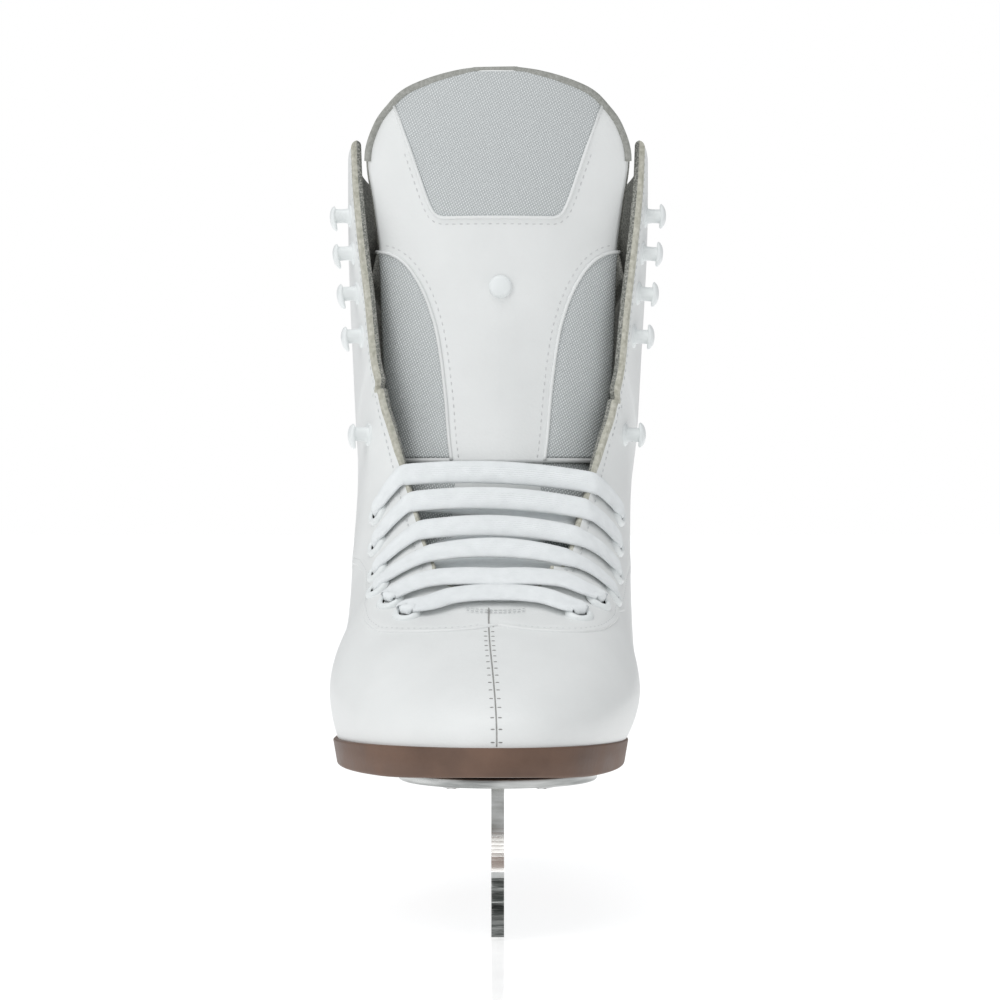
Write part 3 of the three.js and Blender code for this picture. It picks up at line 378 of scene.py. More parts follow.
def skin_normal(side, u, t):
    step = 0.01
    low, high = max(u - step, -1), min(u + step, COLLAR)
    near, far = max(t - step, 0), min(t + step, 1)
    along_u = skin_point(side, high, t) - skin_point(side, low, t)
    along_t = skin_point(side, u, far) - skin_point(side, u, near)
    normal = along_u.cross(along_t) * -side
    if abs(skin_point(side, u, t).x) < 0.05:
        normal.x = 0
    return normal.normalized() if normal.length > 1e-9 else Vector((0, -1, 0))


def on_skin(side, u, t, lift):
    return skin_point(side, u, t) + skin_normal(side, u, t) * lift


def t_at_width(side, u, x):
    row = cut(side, u)
    wide = row[WIDE_LEFT if side < 0 else WIDE_RIGHT]
    if u < 0:
        wide *= math.cos(-u * math.pi / 2) ** TOE_ROUND[side]
    return math.asin(min((x / wide) ** (1 / FRONT_POWER), 1)) / row[WRAP]


def ease(value, low, high):
    k = min(max((value - low) / (high - low), 0), 1)
    return k * k * (3 - 2 * k)


# The opening edge has a shallow notch where the loose upper flap starts.
NOTCH_U = 6.85
NOTCH_DEEP = 2.8


def open_edge(side, u):
    if u <= 0:
        return THROAT_T
    t = t_at_width(side, u, cut(side, u)[OPEN])
    across = (skin_point(side, u, t + 0.01) - skin_point(side, u, t)).length / 0.01
    return t + NOTCH_DEEP * math.exp(-((u - NOTCH_U) / 0.13) ** 2) / across


def mm_per_t(side, u, t):
    return (skin_point(side, u, min(t + 0.005, 1)) - skin_point(side, u, max(t - 0.005, 0))).length / 0.01


# Where the quarter's lower edge lies over the vamp: round the front of the lacing, back along it, then down
# to the sole at the arch.
VAMP_SEAM = {
    -1: [(-1, 0.3), (-0.7, 0.37), (-0.5, 0.42), (-0.37, 0.448), (-0.25, 0.44), (-0.1, 0.42), (1.0, 0.453),
         (1.9, 0.475), (2.8, 0.525), (3.5, 0.59), (4.0, 0.7), (4.4, 1.0)],
    1: [(-1, 0.3), (-0.7, 0.37), (-0.5, 0.42), (-0.36, 0.443), (-0.2, 0.45), (0.3, 0.47), (1.2, 0.54),
        (1.9, 0.565), (2.8, 0.585), (3.5, 0.62), (4.0, 0.72), (4.4, 1.0)],
}


def vamp_seam(side, u):
    for (u0, t0), (u1, t1) in zip(VAMP_SEAM[side], VAMP_SEAM[side][1:]):
        if u <= u1:
            return t0 + (t1 - t0) * max(u - u0, 0) / (u1 - u0)
    return 1.0


def steps(a, b, count):
    return [a + (b - a) * i / count for i in range(count + 1)]


def panel(name, side, rows, section, body, paints, stands_for):
    """Leather panel as one grid: rows are (u, roll) and section(u) lists (t, lift, paint) round the sheet."""
    wide = len(section(rows[0][0])) - 1
    high = len(rows) - 1
    shape = bmesh.new()
    bmesh.ops.create_grid(shape, x_segments=wide, y_segments=high, size=1)
    sections = [section(u) for u, _ in rows]
    places = {}
    for vert in shape.verts:
        i = round((vert.co.x + 1) / 2 * wide)
        j = round((vert.co.y + 1) / 2 * high)
        places[vert] = (i, j)
    for vert, (i, j) in places.items():
        u, roll = rows[j]
        t, lift, _ = sections[j][i]
        point = skin_point(side, u, t)
        normal = skin_normal(side, u, t)
        if roll:
            middle = -LEATHER_THICK / 2
            lift = middle + (lift - middle) * math.cos(roll)
            up = (point - skin_point(side, u - 0.2, t)).normalized()
            point += up * (LEATHER_THICK / 2 * math.sin(roll))
        vert.co = (point + normal * lift) * MM
    for face in shape.faces:
        i = min(places[v][0] for v in face.verts)
        j = min(places[v][1] for v in face.verts)
        face.material_index = sections[j][i][2]
        if rows[j][1] > 0.5 and sections[j][i][2] == 0:
            face.material_index = 1
    if side < 0:
        bmesh.ops.reverse_faces(shape, faces=shape.faces[:])
    bmesh.ops.remove_doubles(shape, verts=shape.verts[:], dist=1e-6)
    made = piece(name, shape, body if isinstance(body, str) else None, paints, stands_for)
    if not isinstance(body, str):
        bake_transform(made)
    return made


# ---- Upper leather -----------------------------------------------------------------------------------
# White coated leather in three layers a side: the vamp, the quarter that overlaps it, and the shaft, whose
# front flap on the skate bends out along a slanting line; here the shaft is one fixed sheet. Cut edges are
# cream, the inside is dark speckled lining.
LEATHER_THICK = 3.4
HIDE = 1.9
OVERLAP = 0.65
OVERLAP_BACK = 0.2
FLEX_POINT = Vector((0, 0.0375, 0.2075))
FLEX_OUT = Vector((0, -0.7253, 0.6887))
FLEX_HALF = 0.0042
SHAFT_FROM = 5.35

leather = material("leather_white", (0.80, 0.815, 0.81), 0.42)
leather_coord, leather_mix = mottle(leather, (0.775, 0.79, 0.785), (0.815, 0.83, 0.825), 42.0, 0.38, 0.12)
grain = node(leather, "ShaderNodeTexVoronoi", [("Vector", leather_coord, "Object")], Scale=950.0)
creases = node(leather, "ShaderNodeTexNoise", [("Vector", leather_coord, "Object")], Scale=120.0, Detail=6.0)
waves = node(leather, "ShaderNodeTexNoise", [("Vector", leather_coord, "Object")], Scale=34.0, Detail=2.0)
grain_bump = bump(leather, grain, "Distance", 0.16, 0.00025)
crease_bump = bump(leather, creases, "Fac", 0.22, 0.0006, grain_bump)
bump(leather, waves, "Fac", 0.2, 0.003, crease_bump)
leather.node_tree.nodes["Principled BSDF"].inputs["Coat Weight"].default_value = 0.12
leather.node_tree.nodes["Principled BSDF"].inputs["Coat Roughness"].default_value = 0.3

raw_edge = material("leather_cut_edge", (0.50, 0.49, 0.42), 0.85)
edge_coord, _ = mottle(raw_edge, (0.38, 0.375, 0.31), (0.62, 0.61, 0.54), 700.0, 0.8, 0.15)
edge_noise = node(raw_edge, "ShaderNodeTexNoise", [("Vector", edge_coord, "Object")], Scale=1500.0)
bump(raw_edge, edge_noise, "Fac", 0.5, 0.0004)

lining = material("lining_dark", (0.10, 0.10, 0.10), 0.95)
lining_coord = node(lining, "ShaderNodeTexCoord")
speck = node(lining, "ShaderNodeTexNoise", [("Vector", lining_coord, "Object")], Scale=1700.0, Detail=2.0)
speck_ramp = node(lining, "ShaderNodeMapRange", [("Value", speck, "Fac")],
                  **{"From Min": 0.42, "From Max": 0.66})
speck_mix = node(lining, "ShaderNodeMix", data_type="RGBA")
speck_mix.inputs[6].default_value = (0.16, 0.165, 0.15, 1)
speck_mix.inputs[7].default_value = (0.42, 0.42, 0.385, 1)
lining.node_tree.links.new(speck_ramp.outputs[0], speck_mix.inputs[0])
lining_shader = lining.node_tree.nodes["Principled BSDF"]
lining.node_tree.links.new(speck_mix.outputs[2], lining_shader.inputs["Base Color"])
bump(lining, speck, "Fac", 0.5, 0.0005)

UPPER = [leather, raw_edge, lining]


def edge_loop(side, u, t, outward):
    """Columns round a cut edge, from the inner face to the outer face; outward is -1 toward the opening."""
    columns = []
    half = LEATHER_THICK / 2
    for a in steps(-math.pi / 2, math.pi / 2, 8):
        lift = -half + half * powered(math.sin(a), 0.6)
        reach = 0.8 * powered(math.cos(a), 0.6)
        columns.append((t + outward * reach / mm_per_t(side, u, t), lift, 1 if lift > -HIDE else 2))
    return columns


def overlap_at(u):
    """How proud the quarter's edge stands of the vamp: thinned down toward the back."""
    return OVERLAP + (OVERLAP_BACK - OVERLAP) * ease(u, -0.45, 0.6)


def seam_dip(distance, row):
    """The leather is pulled in a little along a stitch row."""
    return -0.28 * math.exp(-((distance - row) / 1.1) ** 2)


# How far the stitch rows lie from the opening edge and from the quarter's lower edge, in millimetres.
FACING_ROW = 3.4
SEAM_ROW = 1.7


def shaft_section(side):
    def section(u):
        edge = open_edge(side, u)
        scale = mm_per_t(side, u, edge)
        inner = [(t, -LEATHER_THICK, 2) for t in steps(1, edge, 44)[:-1]]
        outer = []
        for t in steps(edge, 1, 96)[1:]:
            away = (t - edge) * scale
            outer.append((t, seam_dip(away, FACING_ROW), 0))
        return inner + edge_loop(side, u, edge, -1) + outer
    return section


def quarter_section(side):
    def section(u):
        edge = open_edge(side, u)
        seam = vamp_seam(side, u)
        scale = mm_per_t(side, u, edge)
        inner = [(t, -LEATHER_THICK, 2) for t in steps(seam, edge, 40)[:-1]]
        outer = []
        for t in steps(edge, seam, 84)[1:]:
            away = (t - edge) * scale
            back = (seam - t) * scale
            rise = overlap_at(u) * (1 - ease(back, 2, 15)) if seam < 0.999 else 0
            dip = seam_dip(away, FACING_ROW) + (0.6 * seam_dip(back, SEAM_ROW) if seam < 0.999 else 0)
            outer.append((t, rise + dip, 0))
        fall = []
        for a in steps(0, math.pi / 2, 5)[1:]:
            down = overlap_at(u) * math.cos(a) - 0.1 * math.sin(a) if seam < 0.999 else 0
            out = 0.7 * math.sin(a) / scale if seam < 0.999 else 0
            fall.append((min(seam + out, 1), down, 0))
        return inner + edge_loop(side, u, edge, -1) + outer + fall
    return section


def vamp_section(side):
    def section(u):
        start = vamp_seam(side, u) - 0.035
        inner = [(t, -LEATHER_THICK + 0.2, 2) for t in steps(1, start, 30)]
        outer = [(t, 0, 0) for t in steps(start, 1, 60)]
        return inner + outer
    return section


for side_name, side in SIDES:
    toe = [(u, 0) for u in steps(-1, 0, 64)]
    panel(f"vamp_leather_{side_name}", side, toe + [(u, 0) for u in steps(0, 4.35, 50)[1:]],
          vamp_section(side), "boot", UPPER, [f"vamp_{side_name}"])
    panel(f"quarter_leather_{side_name}", side, toe + [(u, 0) for u in steps(0, SHAFT_FROM, 60)[1:]],
          quarter_section(side), "boot", UPPER, [f"quarter_{side_name}"])
    rows = [(u, 0) for u in steps(SHAFT_FROM, COLLAR, 100)]
    rows += [(COLLAR, roll) for roll in steps(0, math.pi / 2, 6)[1:]]
    flap = f"{side_name}_flap"
    panel(f"shaft_leather_{side_name}", side, rows, shaft_section(side),
          ("boot", flap, tuple(FLEX_POINT - FLEX_OUT * FLEX_HALF), tuple(FLEX_POINT + FLEX_OUT * FLEX_HALF)),
          UPPER, [f"flap_{side_name}"])

# ---- Bottom: outsole, heel and blade ------------------------------------------------------------------
# Brown sole with a stacked heel, each layer built as one loop carried from toe to heel, and a chromed
# blade: runner with toe picks, two posts flaring into their plates, countersunk screws.
RUNG_CUTS = steps(-1, -0.5, 26) + steps(-0.5, 0, 14)[1:] + steps(0, 9, 96)[1:]


def edge_point(side, u, grow):
    point = skin_point(side, u, 1)
    ahead = skin_point(side, min(u + 0.02, COLLAR), 1)
    behind = skin_point(side, max(u - 0.02, -1), 1)
    along = ahead - behind
    along.z = 0
    along.normalize()
    if u <= -0.999:
        return Vector((0, point.y - grow, point.z))
    return point + Vector((-side * along.y, side * along.x, 0)) * -grow


def loop_solid(name, rungs, loop_at, paint, stands_for):
    """A closed loop of points per rung, capped at both ends."""
    first = loop_at(rungs[0])
    shape = bmesh.new()
    bmesh.ops.create_grid(shape, x_segments=len(first), y_segments=len(rungs) - 1, size=1)
    loops = [loop_at(rung) for rung in rungs]
    for vert in shape.verts[:]:
        i = round((vert.co.x + 1) / 2 * len(first)) % len(first)
        j = round((vert.co.y + 1) / 2 * (len(rungs) - 1))
        vert.co = loops[j][i] * MM
    bmesh.ops.remove_doubles(shape, verts=shape.verts[:], dist=2e-6)
    bmesh.ops.holes_fill(shape, edges=[e for e in shape.edges if e.is_boundary])
    bmesh.ops.recalc_face_normals(shape, faces=shape.faces[:])
    return piece(name, shape, "boot", [paint], stands_for)


# The sole sits a little to the left and draws in toward its lower edge.
SOLE_SHIFT = -0.4
SOLE_TAPER = 1.5


def slab_loop(grow, top, bottom, round_edge=0.9, shrink=None, taper=0.0, shift=0.0):
    """Loop across the boot bottom: top left to right, rounded edge, bottom back, rounded edge."""
    def loop_at(u):
        points = []
        left = edge_point(-1, u, grow)
        right = edge_point(1, u, grow)
        z_edge = left.z
        middle_y = (left.y + right.y) / 2
        high, low = top(z_edge, middle_y), bottom(z_edge, middle_y)
        half = max((right - left).length / 2, 0.01)
        inset = min(round_edge, half * 0.6, abs(high - low) * 0.45)
        draw_in = min(taper, half * 0.3)
        trip = [(k, high) for k in steps(inset / half, 2 - inset / half, 10)]
        for a in steps(math.pi / 2, -math.pi / 2, 10):
            squash = inset * (1 - math.cos(a)) / half
            z = (high - inset if a > 0 else low + inset) + inset * math.sin(a)
            squash += draw_in * (high - z) / (high - low) / half
            trip.append((2 - squash, z))
        bottom_from = (inset + draw_in) / half
        trip += [(k, low) for k in steps(2 - bottom_from, bottom_from, 10)]
        for a in steps(-math.pi / 2, math.pi / 2, 10):
            squash = inset * (1 - math.cos(a)) / half
            z = (high - inset if a > 0 else low + inset) + inset * math.sin(a)
            squash += draw_in * (high - z) / (high - low) / half
            trip.append((squash, z))
        for k, z in trip:
            point = left.lerp(right, k / 2)
            point.z = z
            point = shrink(point) if shrink else point
            points.append(point + Vector((shift, 0, 0)))
        return points
    return loop_at


sole_brown = material("sole_brown", (0.13, 0.07, 0.045), 0.5)
sole_coord, _ = mottle(sole_brown, (0.105, 0.058, 0.038), (0.17, 0.098, 0.066), 60.0, 0.42, 0.2)
sole_lines = node(sole_brown, "ShaderNodeTexWave", [("Vector", sole_coord, "Object")], bands_direction="Z",
                  Scale=55.0, Distortion=1.2, Detail=2.0)
sole_pits = node(sole_brown, "ShaderNodeTexNoise", [("Vector", sole_coord, "Object")], Scale=600.0,
                 Detail=3.0)
sole_low = bump(sole_brown, sole_lines, "Fac", 0.15, 0.0004)
bump(sole_brown, sole_pits, "Fac", 0.25, 0.0003, sole_low)
rubber = material("heel_rubber", (0.05, 0.028, 0.022), 0.7)
rubber_coord, _ = mottle(rubber, (0.045, 0.025, 0.02), (0.075, 0.045, 0.035), 90.0, 0.62, 0.15)
rubber_pits = node(rubber, "ShaderNodeTexNoise", [("Vector", rubber_coord, "Object")], Scale=900.0)
bump(rubber, rubber_pits, "Fac", 0.3, 0.0003)

SOLE_FLAT = 49.6
SOLE_THICK = 8.2


def sole_under(z, y):
    if y < -36:
        return SOLE_FLAT + 1.6 * max(0, (-112 - y) / 26) ** 2
    return max(z - SOLE_THICK, SOLE_FLAT)


loop_solid("outsole_brown", RUNG_CUTS,
           slab_loop(1.4, lambda z, y: z + 0.5, sole_under, 0.9, None, SOLE_TAPER, SOLE_SHIFT), sole_brown,
           ["outsole"])

HEEL_FOOT = 61.2
HEEL_GROUND = 58.1
HEEL_SEAT = 88
HEEL_MIDDLE = 96
heel_rungs = [u for u in RUNG_CUTS if u > 5.05]


def heel_shrink(top_z, foot_z, upper_share, lower_share):
    def move(point):
        share = upper_share + (lower_share - upper_share) * (top_z - point.z) / (top_z - foot_z)
        point.x *= 1 - share * 0.12
        drawn_in = 0.22 if point.y < HEEL_MIDDLE else 0.08
        point.y = HEEL_MIDDLE + (point.y - HEEL_MIDDLE) * (1 - share * drawn_in)
        return point
    return move


loop_solid("heel_brown", heel_rungs,
           slab_loop(1.6, lambda z, y: sole_under(z, y) - 0.6, lambda z, y: HEEL_FOOT, 0.4,
                     heel_shrink(HEEL_SEAT, HEEL_FOOT, 0, 1)), sole_brown, ["heel_block"])
loop_solid("heel_lift_rubber", heel_rungs,
           slab_loop(1.9, lambda z, y: HEEL_FOOT - 0.2, lambda z, y: HEEL_GROUND, 0.5,
                     heel_shrink(HEEL_FOOT, HEEL_GROUND, 1, 1.15)), rubber, ["heel_top_lift"])

chrome = material("chrome", (0.60, 0.61, 0.61), 0.2)
chrome.node_tree.nodes["Principled BSDF"].inputs["Metallic"].default_value = 1.0
chrome_coord, _ = mottle(chrome, (0.56, 0.57, 0.57), (0.64, 0.65, 0.65), 30.0, 0.16, 0.1)
chrome_map = node(chrome, "ShaderNodeMapping", [("Vector", chrome_coord, "Object")], Scale=(300, 40, 1500))
chrome_hair = node(chrome, "ShaderNodeTexNoise", [("Vector", chrome_map, "Vector")], Scale=1.0, Detail=4.0)
bump(chrome, chrome_hair, "Fac", 0.12, 0.0001)
# Polished front edge of the runner: its base colour is banded light and dark up its height, painted
# reflections standing in for the bright and dark bands the slope mirrors.
polished = material("polished_edge_painted_reflections", (0.8, 0.81, 0.8), 0.2)
polished.node_tree.nodes["Principled BSDF"].inputs["Metallic"].default_value = 1.0
polished_coord, polished_reflection_mix = mottle(polished, (0.50, 0.50, 0.47), (0.98, 0.99, 0.98), 30.0, 0.12, 0.1)
polished_map = node(polished, "ShaderNodeMapping", [("Vector", polished_coord, "Object")],
                    Scale=(40, 10, 150))
painted_reflection_bands = node(polished, "ShaderNodeTexNoise", [("Vector", polished_map, "Vector")], Scale=1.0,
                     Detail=3.0)
painted_reflection_share = node(polished, "ShaderNodeMapRange", [("Value", painted_reflection_bands, "Fac")],
                      **{"From Min": 0.4, "From Max": 0.6})
polished.node_tree.links.new(painted_reflection_share.outputs[0], polished_reflection_mix.inputs[0])
satin = material("satin_nickel", (0.5, 0.51, 0.5), 0.28)
satin.node_tree.nodes["Principled BSDF"].inputs["Metallic"].default_value = 1.0
satin_coord, satin_mix = mottle(satin, (0.30, 0.31, 0.305), (0.62, 0.63, 0.62), 30.0, 0.22, 0.14)
satin_long = node(satin, "ShaderNodeMapping", [("Vector", satin_coord, "Object")], Scale=(55, 18, 420))
satin_cloud = node(satin, "ShaderNodeTexNoise", [("Vector", satin_long, "Vector")], Scale=1.0, Detail=3.0)
satin_share = node(satin, "ShaderNodeMapRange", [("Value", satin_cloud, "Fac")],
                   **{"From Min": 0.38, "From Max": 0.62})
satin.node_tree.links.new(satin_share.outputs[0], satin_mix.inputs[0])
bump(satin, satin_cloud, "Fac", 0.1, 0.0003)
ground_steel = material("ground_steel", (0.30, 0.31, 0.30), 0.34)
ground_steel.node_tree.nodes["Principled BSDF"].inputs["Metallic"].default_value = 1.0
ground_coord, ground_mix = mottle(ground_steel, (0.15, 0.16, 0.155), (0.42, 0.43, 0.42), 200.0, 0.28, 0.2)
ground_map = node(ground_steel, "ShaderNodeMapping", [("Vector", ground_coord, "Object")],
                  Scale=(200, 30, 2500))
ground_hair = node(ground_steel, "ShaderNodeTexNoise", [("Vector", ground_map, "Vector")], Scale=1.0,
                   Detail=5.0)
ground_share = node(ground_steel, "ShaderNodeMapRange", [("Value", ground_hair, "Fac")],
                    **{"From Min": 0.42, "From Max": 0.66})
ground_steel.node_tree.links.new(ground_share.outputs[0], ground_mix.inputs[0])
bump(ground_steel, ground_hair, "Fac", 0.3, 0.0002)

PLATE_TOP, PLATE_FRONT, PLATE_BACK, PLATE_HALF = 49.25, -122, -35, 31.5
HEEL_TOP, HEEL_FRONT, HEEL_BACK, HEEL_HALF = 57.8, 72, 127, 20
PLATE_THICK = 2.9
RUNNER_THICK = 3.9
ROCKER = 2100
CONTACT_Y = -45
BACK_SLOPE = [(139, 11), (136, 18), (128, 24), (112, 25.5), (60, 24), (0, 22.6), (-60, 23.2), (-90, 24.5),
              (-97, 28.5), (-101.5, 36), (-103, 46.05)]
GROUND_TOP = 20
TOE_SLOPE = [(-117, 46.05), (-117.6, 41), (-119.6, 34), (-123.4, 27), (-127.6, 21.6)]


def rocker(y):
    return (y - CONTACT_Y) ** 2 / (2 * ROCKER)


def runner_outline():
    """Side view of the runner: rocker from tail to toe, toe picks, front slope, then back over the top."""
    line = [(y, rocker(y)) for y in steps(139, CONTACT_Y + 3, 40)]
    line += [(CONTACT_Y + 3, 0), (CONTACT_Y - 3, 0)]
    line += [(y, rocker(y)) for y in steps(CONTACT_Y - 6, -108, 12)]
    line += [(-110, 2.6), (-112, 3.4), (-115.5, 2.4), (-119.5, 0.8)]
    for i in range(4):
        z = 6.7 + i * 4
        line += [(-118.4 - i * 2.1, z - 0.6), (-120.6 - i * 1.95, z + 0.1), (-122.5 - i * 1.75, z + 1.1)]
    top, _ = curve_points([Vector((0, y, z)) for y, z in TOE_SLOPE], 20)
    line += [(p.y, p.z) for p in reversed(top)]
    back, _ = curve_points([Vector((0, y, z)) for y, z in BACK_SLOPE], 60)
    line += [(p.y, p.z) for p in reversed(back)]
    return line[:-1]


shape = bmesh.new()
outline = [shape.verts.new((-RUNNER_THICK / 2 * MM, y * MM, z * MM)) for y, z in runner_outline()]
side_face = shape.faces.new(outline)
grown = bmesh.ops.extrude_face_region(shape, geom=[side_face])
moved = [v for v in grown["geom"] if isinstance(v, bmesh.types.BMVert)]
bmesh.ops.translate(shape, verts=moved, vec=(RUNNER_THICK * MM, 0, 0))
bmesh.ops.recalc_face_normals(shape, faces=shape.faces[:])
sharp = [e for e in shape.edges if abs(e.verts[0].co.x - e.verts[1].co.x) < 1e-7]
bmesh.ops.bevel(shape, geom=sharp, offset=0.35 * MM, offset_type="OFFSET", segments=2, profile=0.5,
                affect="EDGES", clamp_overlap=True, material=-1)
for face in shape.faces:
    centre = face.calc_center_median() / MM
    if centre.z < GROUND_TOP and (centre.y < -100 or centre.z < 8):
        face.material_index = 1
    # Faces turned forward at the front take the polished metal with its painted reflection bands.
    elif abs(face.normal.x) < 0.7 and centre.y < -100:
        face.material_index = 2
runner = piece("runner_steel", shape, "boot", [chrome, ground_steel, polished], ["runner"],
               smooth=False)
for face in runner.data.polygons:
    face.use_smooth = abs(face.normal.x) < 0.9 and face.center.y > -0.11


def oblong(y, z, half_long, half_wide, count=64):
    return [Vector((half_wide * powered(math.sin(a), 0.75), y + half_long * powered(math.cos(a), 0.75), z))
            for a in steps(0, 2 * math.pi, count)[:-1]]


def loft(name, rows, paint, stands_for):
    """Smooth post through oblong rows of (y, z, half length, half width)."""
    rungs = steps(0, len(rows) - 1, 60)
    return loop_solid(name, rungs, lambda k: oblong(*(through(rows, c, k) for c in range(4))), paint,
                      stands_for)


FRONT_POST = [(-73, 21, 15, 1.8), (-73, 24, 14.8, 1.9), (-73, 31, 13.5, 1.9), (-73, 38, 15, 1.95),
              (-73, 41.5, 17.6, 2.05), (-73, 43.6, 20.6, 2.6), (-73, 45.2, 24.6, 4.4), (-73, 46.4, 29, 9.0)]
REAR_POST = [(90, 21, 17, 1.8), (90, 24, 17, 1.9), (91, 30, 15, 1.9), (92, 36, 14, 1.95),
             (94, 43, 14.6, 2.0), (95.5, 48.5, 16.6, 2.4), (97, 52.2, 20, 4.6), (98, 54.9, 24.6, 9.0)]
loft("front_post", FRONT_POST, chrome, ["front_stanchion"])
loft("rear_post", REAR_POST, chrome, ["rear_stanchion"])


def plate(name, front, back, half, top, nose, stands_for):
    middle, reach = (front + back) / 2, (back - front) / 2

    def ring(row):
        z, inset = row
        points = []
        for a in steps(0, 2 * math.pi, 96)[:-1]:
            front_half = math.cos(a) < 0
            x = (half - inset) * powered(math.sin(a), max(nose, 0.6) if front_half else 0.6)
            y = middle + (reach - inset) * powered(math.cos(a), nose if front_half else 0.45)
            points.append(Vector((x, y, z)))
        return points

    low = top - PLATE_THICK
    rows = [(low, 1.0)]
    rows += [(low + 0.7 * (1 - math.cos(a)), 0.7 * (1 - math.sin(a))) for a in steps(0.2, 1.57, 5)]
    rows += [(top - 0.5 * (1 - math.sin(a)), 0.5 * (1 - math.cos(a))) for a in steps(0.0, 1.57, 5)]
    return loop_solid(name, rows, ring, satin, stands_for)


plate("sole_plate_steel", PLATE_FRONT, PLATE_BACK, PLATE_HALF, PLATE_TOP, 0.95, ["sole_plate"])
plate("heel_plate_steel", HEEL_FRONT, HEEL_BACK, HEEL_HALF, HEEL_TOP, 0.45, ["heel_plate"])

SOLE_SCREWS = [(-14, -106), (14, -106), (-25, -78), (25, -78), (-22, -48), (22, -48)]
HEEL_SCREWS = [(-15.2, 80), (15.2, 80), (-15.2, 116), (15.2, 116)]
SCREW = [(0.6, -0.6), (2.2, -0.45), (3.3, -0.8), (3.9, -1.2), (3.9, -1.6)]
for prefix, spots, low in (("sole_plate_screw", SOLE_SCREWS, PLATE_TOP - PLATE_THICK),
                           ("heel_plate_screw", HEEL_SCREWS, HEEL_TOP - PLATE_THICK)):
    for number, (x, y) in enumerate(spots, 1):
        shape = bmesh.new()
        profile = [shape.verts.new(((x + r) * MM, y * MM, (low - 1.5 - h) * MM)) for r, h in SCREW]
        edges = [shape.edges.new(pair) for pair in zip(profile, profile[1:])]
        bmesh.ops.spin(shape, geom=profile + edges, cent=(x * MM, y * MM, 0), axis=(0, 0, 1),
                       angle=2 * math.pi, steps=28, use_duplicate=False, use_merge=True)
        # Two thin bars crossed in each head take the dark rubber colour: painted shade in the screw's cross
        # slot.
        for turn in (0.4, 0.4 + math.pi / 2):
            arm = Matrix.Translation((x * MM, y * MM, (low - 0.95) * MM)) @ Matrix.Rotation(turn, 4, "Z")
            size = Matrix.Diagonal((3.6 * MM, 0.7 * MM, 0.5 * MM, 1))
            painted_shade_slot = bmesh.ops.create_cube(shape, size=1, matrix=arm @ size)
            for face in {f for v in painted_shade_slot["verts"] for f in v.link_faces}:
                face.material_index = 1
        bmesh.ops.remove_doubles(shape, verts=shape.verts[:], dist=1e-6)
        bmesh.ops.recalc_face_normals(shape, faces=shape.faces[:])
        piece(f"{prefix}_head_{number}", shape, "boot", [chrome, rubber], [f"{prefix}_{number}"])

# ---- Tongue ------------------------------------------------------------------------------------------
# Padded tongue: a foam core in woven grey mesh under a white leather face. Windows in the leather show the
# mesh at the top and along both sides, with stitch rows around them and a dark bound edge at the top.
# Rows of the upper half: y, z of the middle of the front, half width, how far the edges fall back, thickness.
TONGUE_HIGH = [
    (-4.9, 147.0, 33.6, 12.6, 5), (-0.5, 158, 36, 13.5, 7), (2, 168, 38.6, 14, 8.5), (3.4, 182, 40, 14, 9),
    (4, 200, 40.6, 14, 9), (3.6, 218, 41.3, 14, 9), (2.2, 236, 43.4, 13.5, 9), (0.2, 252, 45.4, 12.5, 9),
    (-2, 262.5, 42.3, 11, 8), (-3.5, 269, 37.4, 9, 7), (-4.6, 273.4, 32.2, 6, 6), (-5.4, 276.6, 24, 3, 5),
    (-6, 278.9, 14.5, 1, 3.6), (-6.1, 280.0, 6, 0.2, 2.4),
]
TONGUE_LOW = [
    (-74, 93.5, 14, 4, 3, 0.35, -0.94), (-66, 98.5, 20, 6, 5, 0.45, -0.89),
    (-55.2, 102.8, 26, 8, 6, 0.55, -0.83), (-40.6, 113.4, 29, 9, 6.5, 0.6, -0.8),
    (-29, 121.6, 31, 10, 7, 0.65, -0.76), (-16.4, 131.6, 31.4, 11, 6, 0.75, -0.66),
    (-7.4, 141.6, 33.2, 12, 6, 0.87, -0.5), (-3.6, 150.2, 34, 13, 6, 0.97, -0.25),
]


def tongue_core(name, rows, count, across, lean):
    """Closed pad through the rows: front face, rounded edge, back face, rounded edge."""
    loop_count = 2 * across
    shape = bmesh.new()
    bmesh.ops.create_grid(shape, x_segments=loop_count, y_segments=count, size=1)
    for vert in shape.verts:
        i = round((vert.co.x + 1) / 2 * loop_count) % loop_count
        place = (vert.co.y + 1) / 2 * (len(rows) - 1)
        y, z, half, fall, thick = (through(rows, column, place) for column in range(5))
        angle = 2 * math.pi * i / loop_count
        k = powered(math.cos(angle), 0.7)
        puff = 0.5 - 0.5 * powered(math.sin(angle), 0.55)
        depth = fall * k * k + thick * puff
        if lean:
            in_y, in_z = through(rows, 5, place), through(rows, 6, place)
            vert.co = Vector((k * half, y + in_y * depth, z + in_z * depth)) * MM
        else:
            vert.co = Vector((k * half, y + depth, z)) * MM
    bmesh.ops.remove_doubles(shape, verts=shape.verts[:], dist=2e-6)
    bmesh.ops.holes_fill(shape, edges=[e for e in shape.edges if e.is_boundary])
    bmesh.ops.recalc_face_normals(shape, faces=shape.faces[:])
    return shape


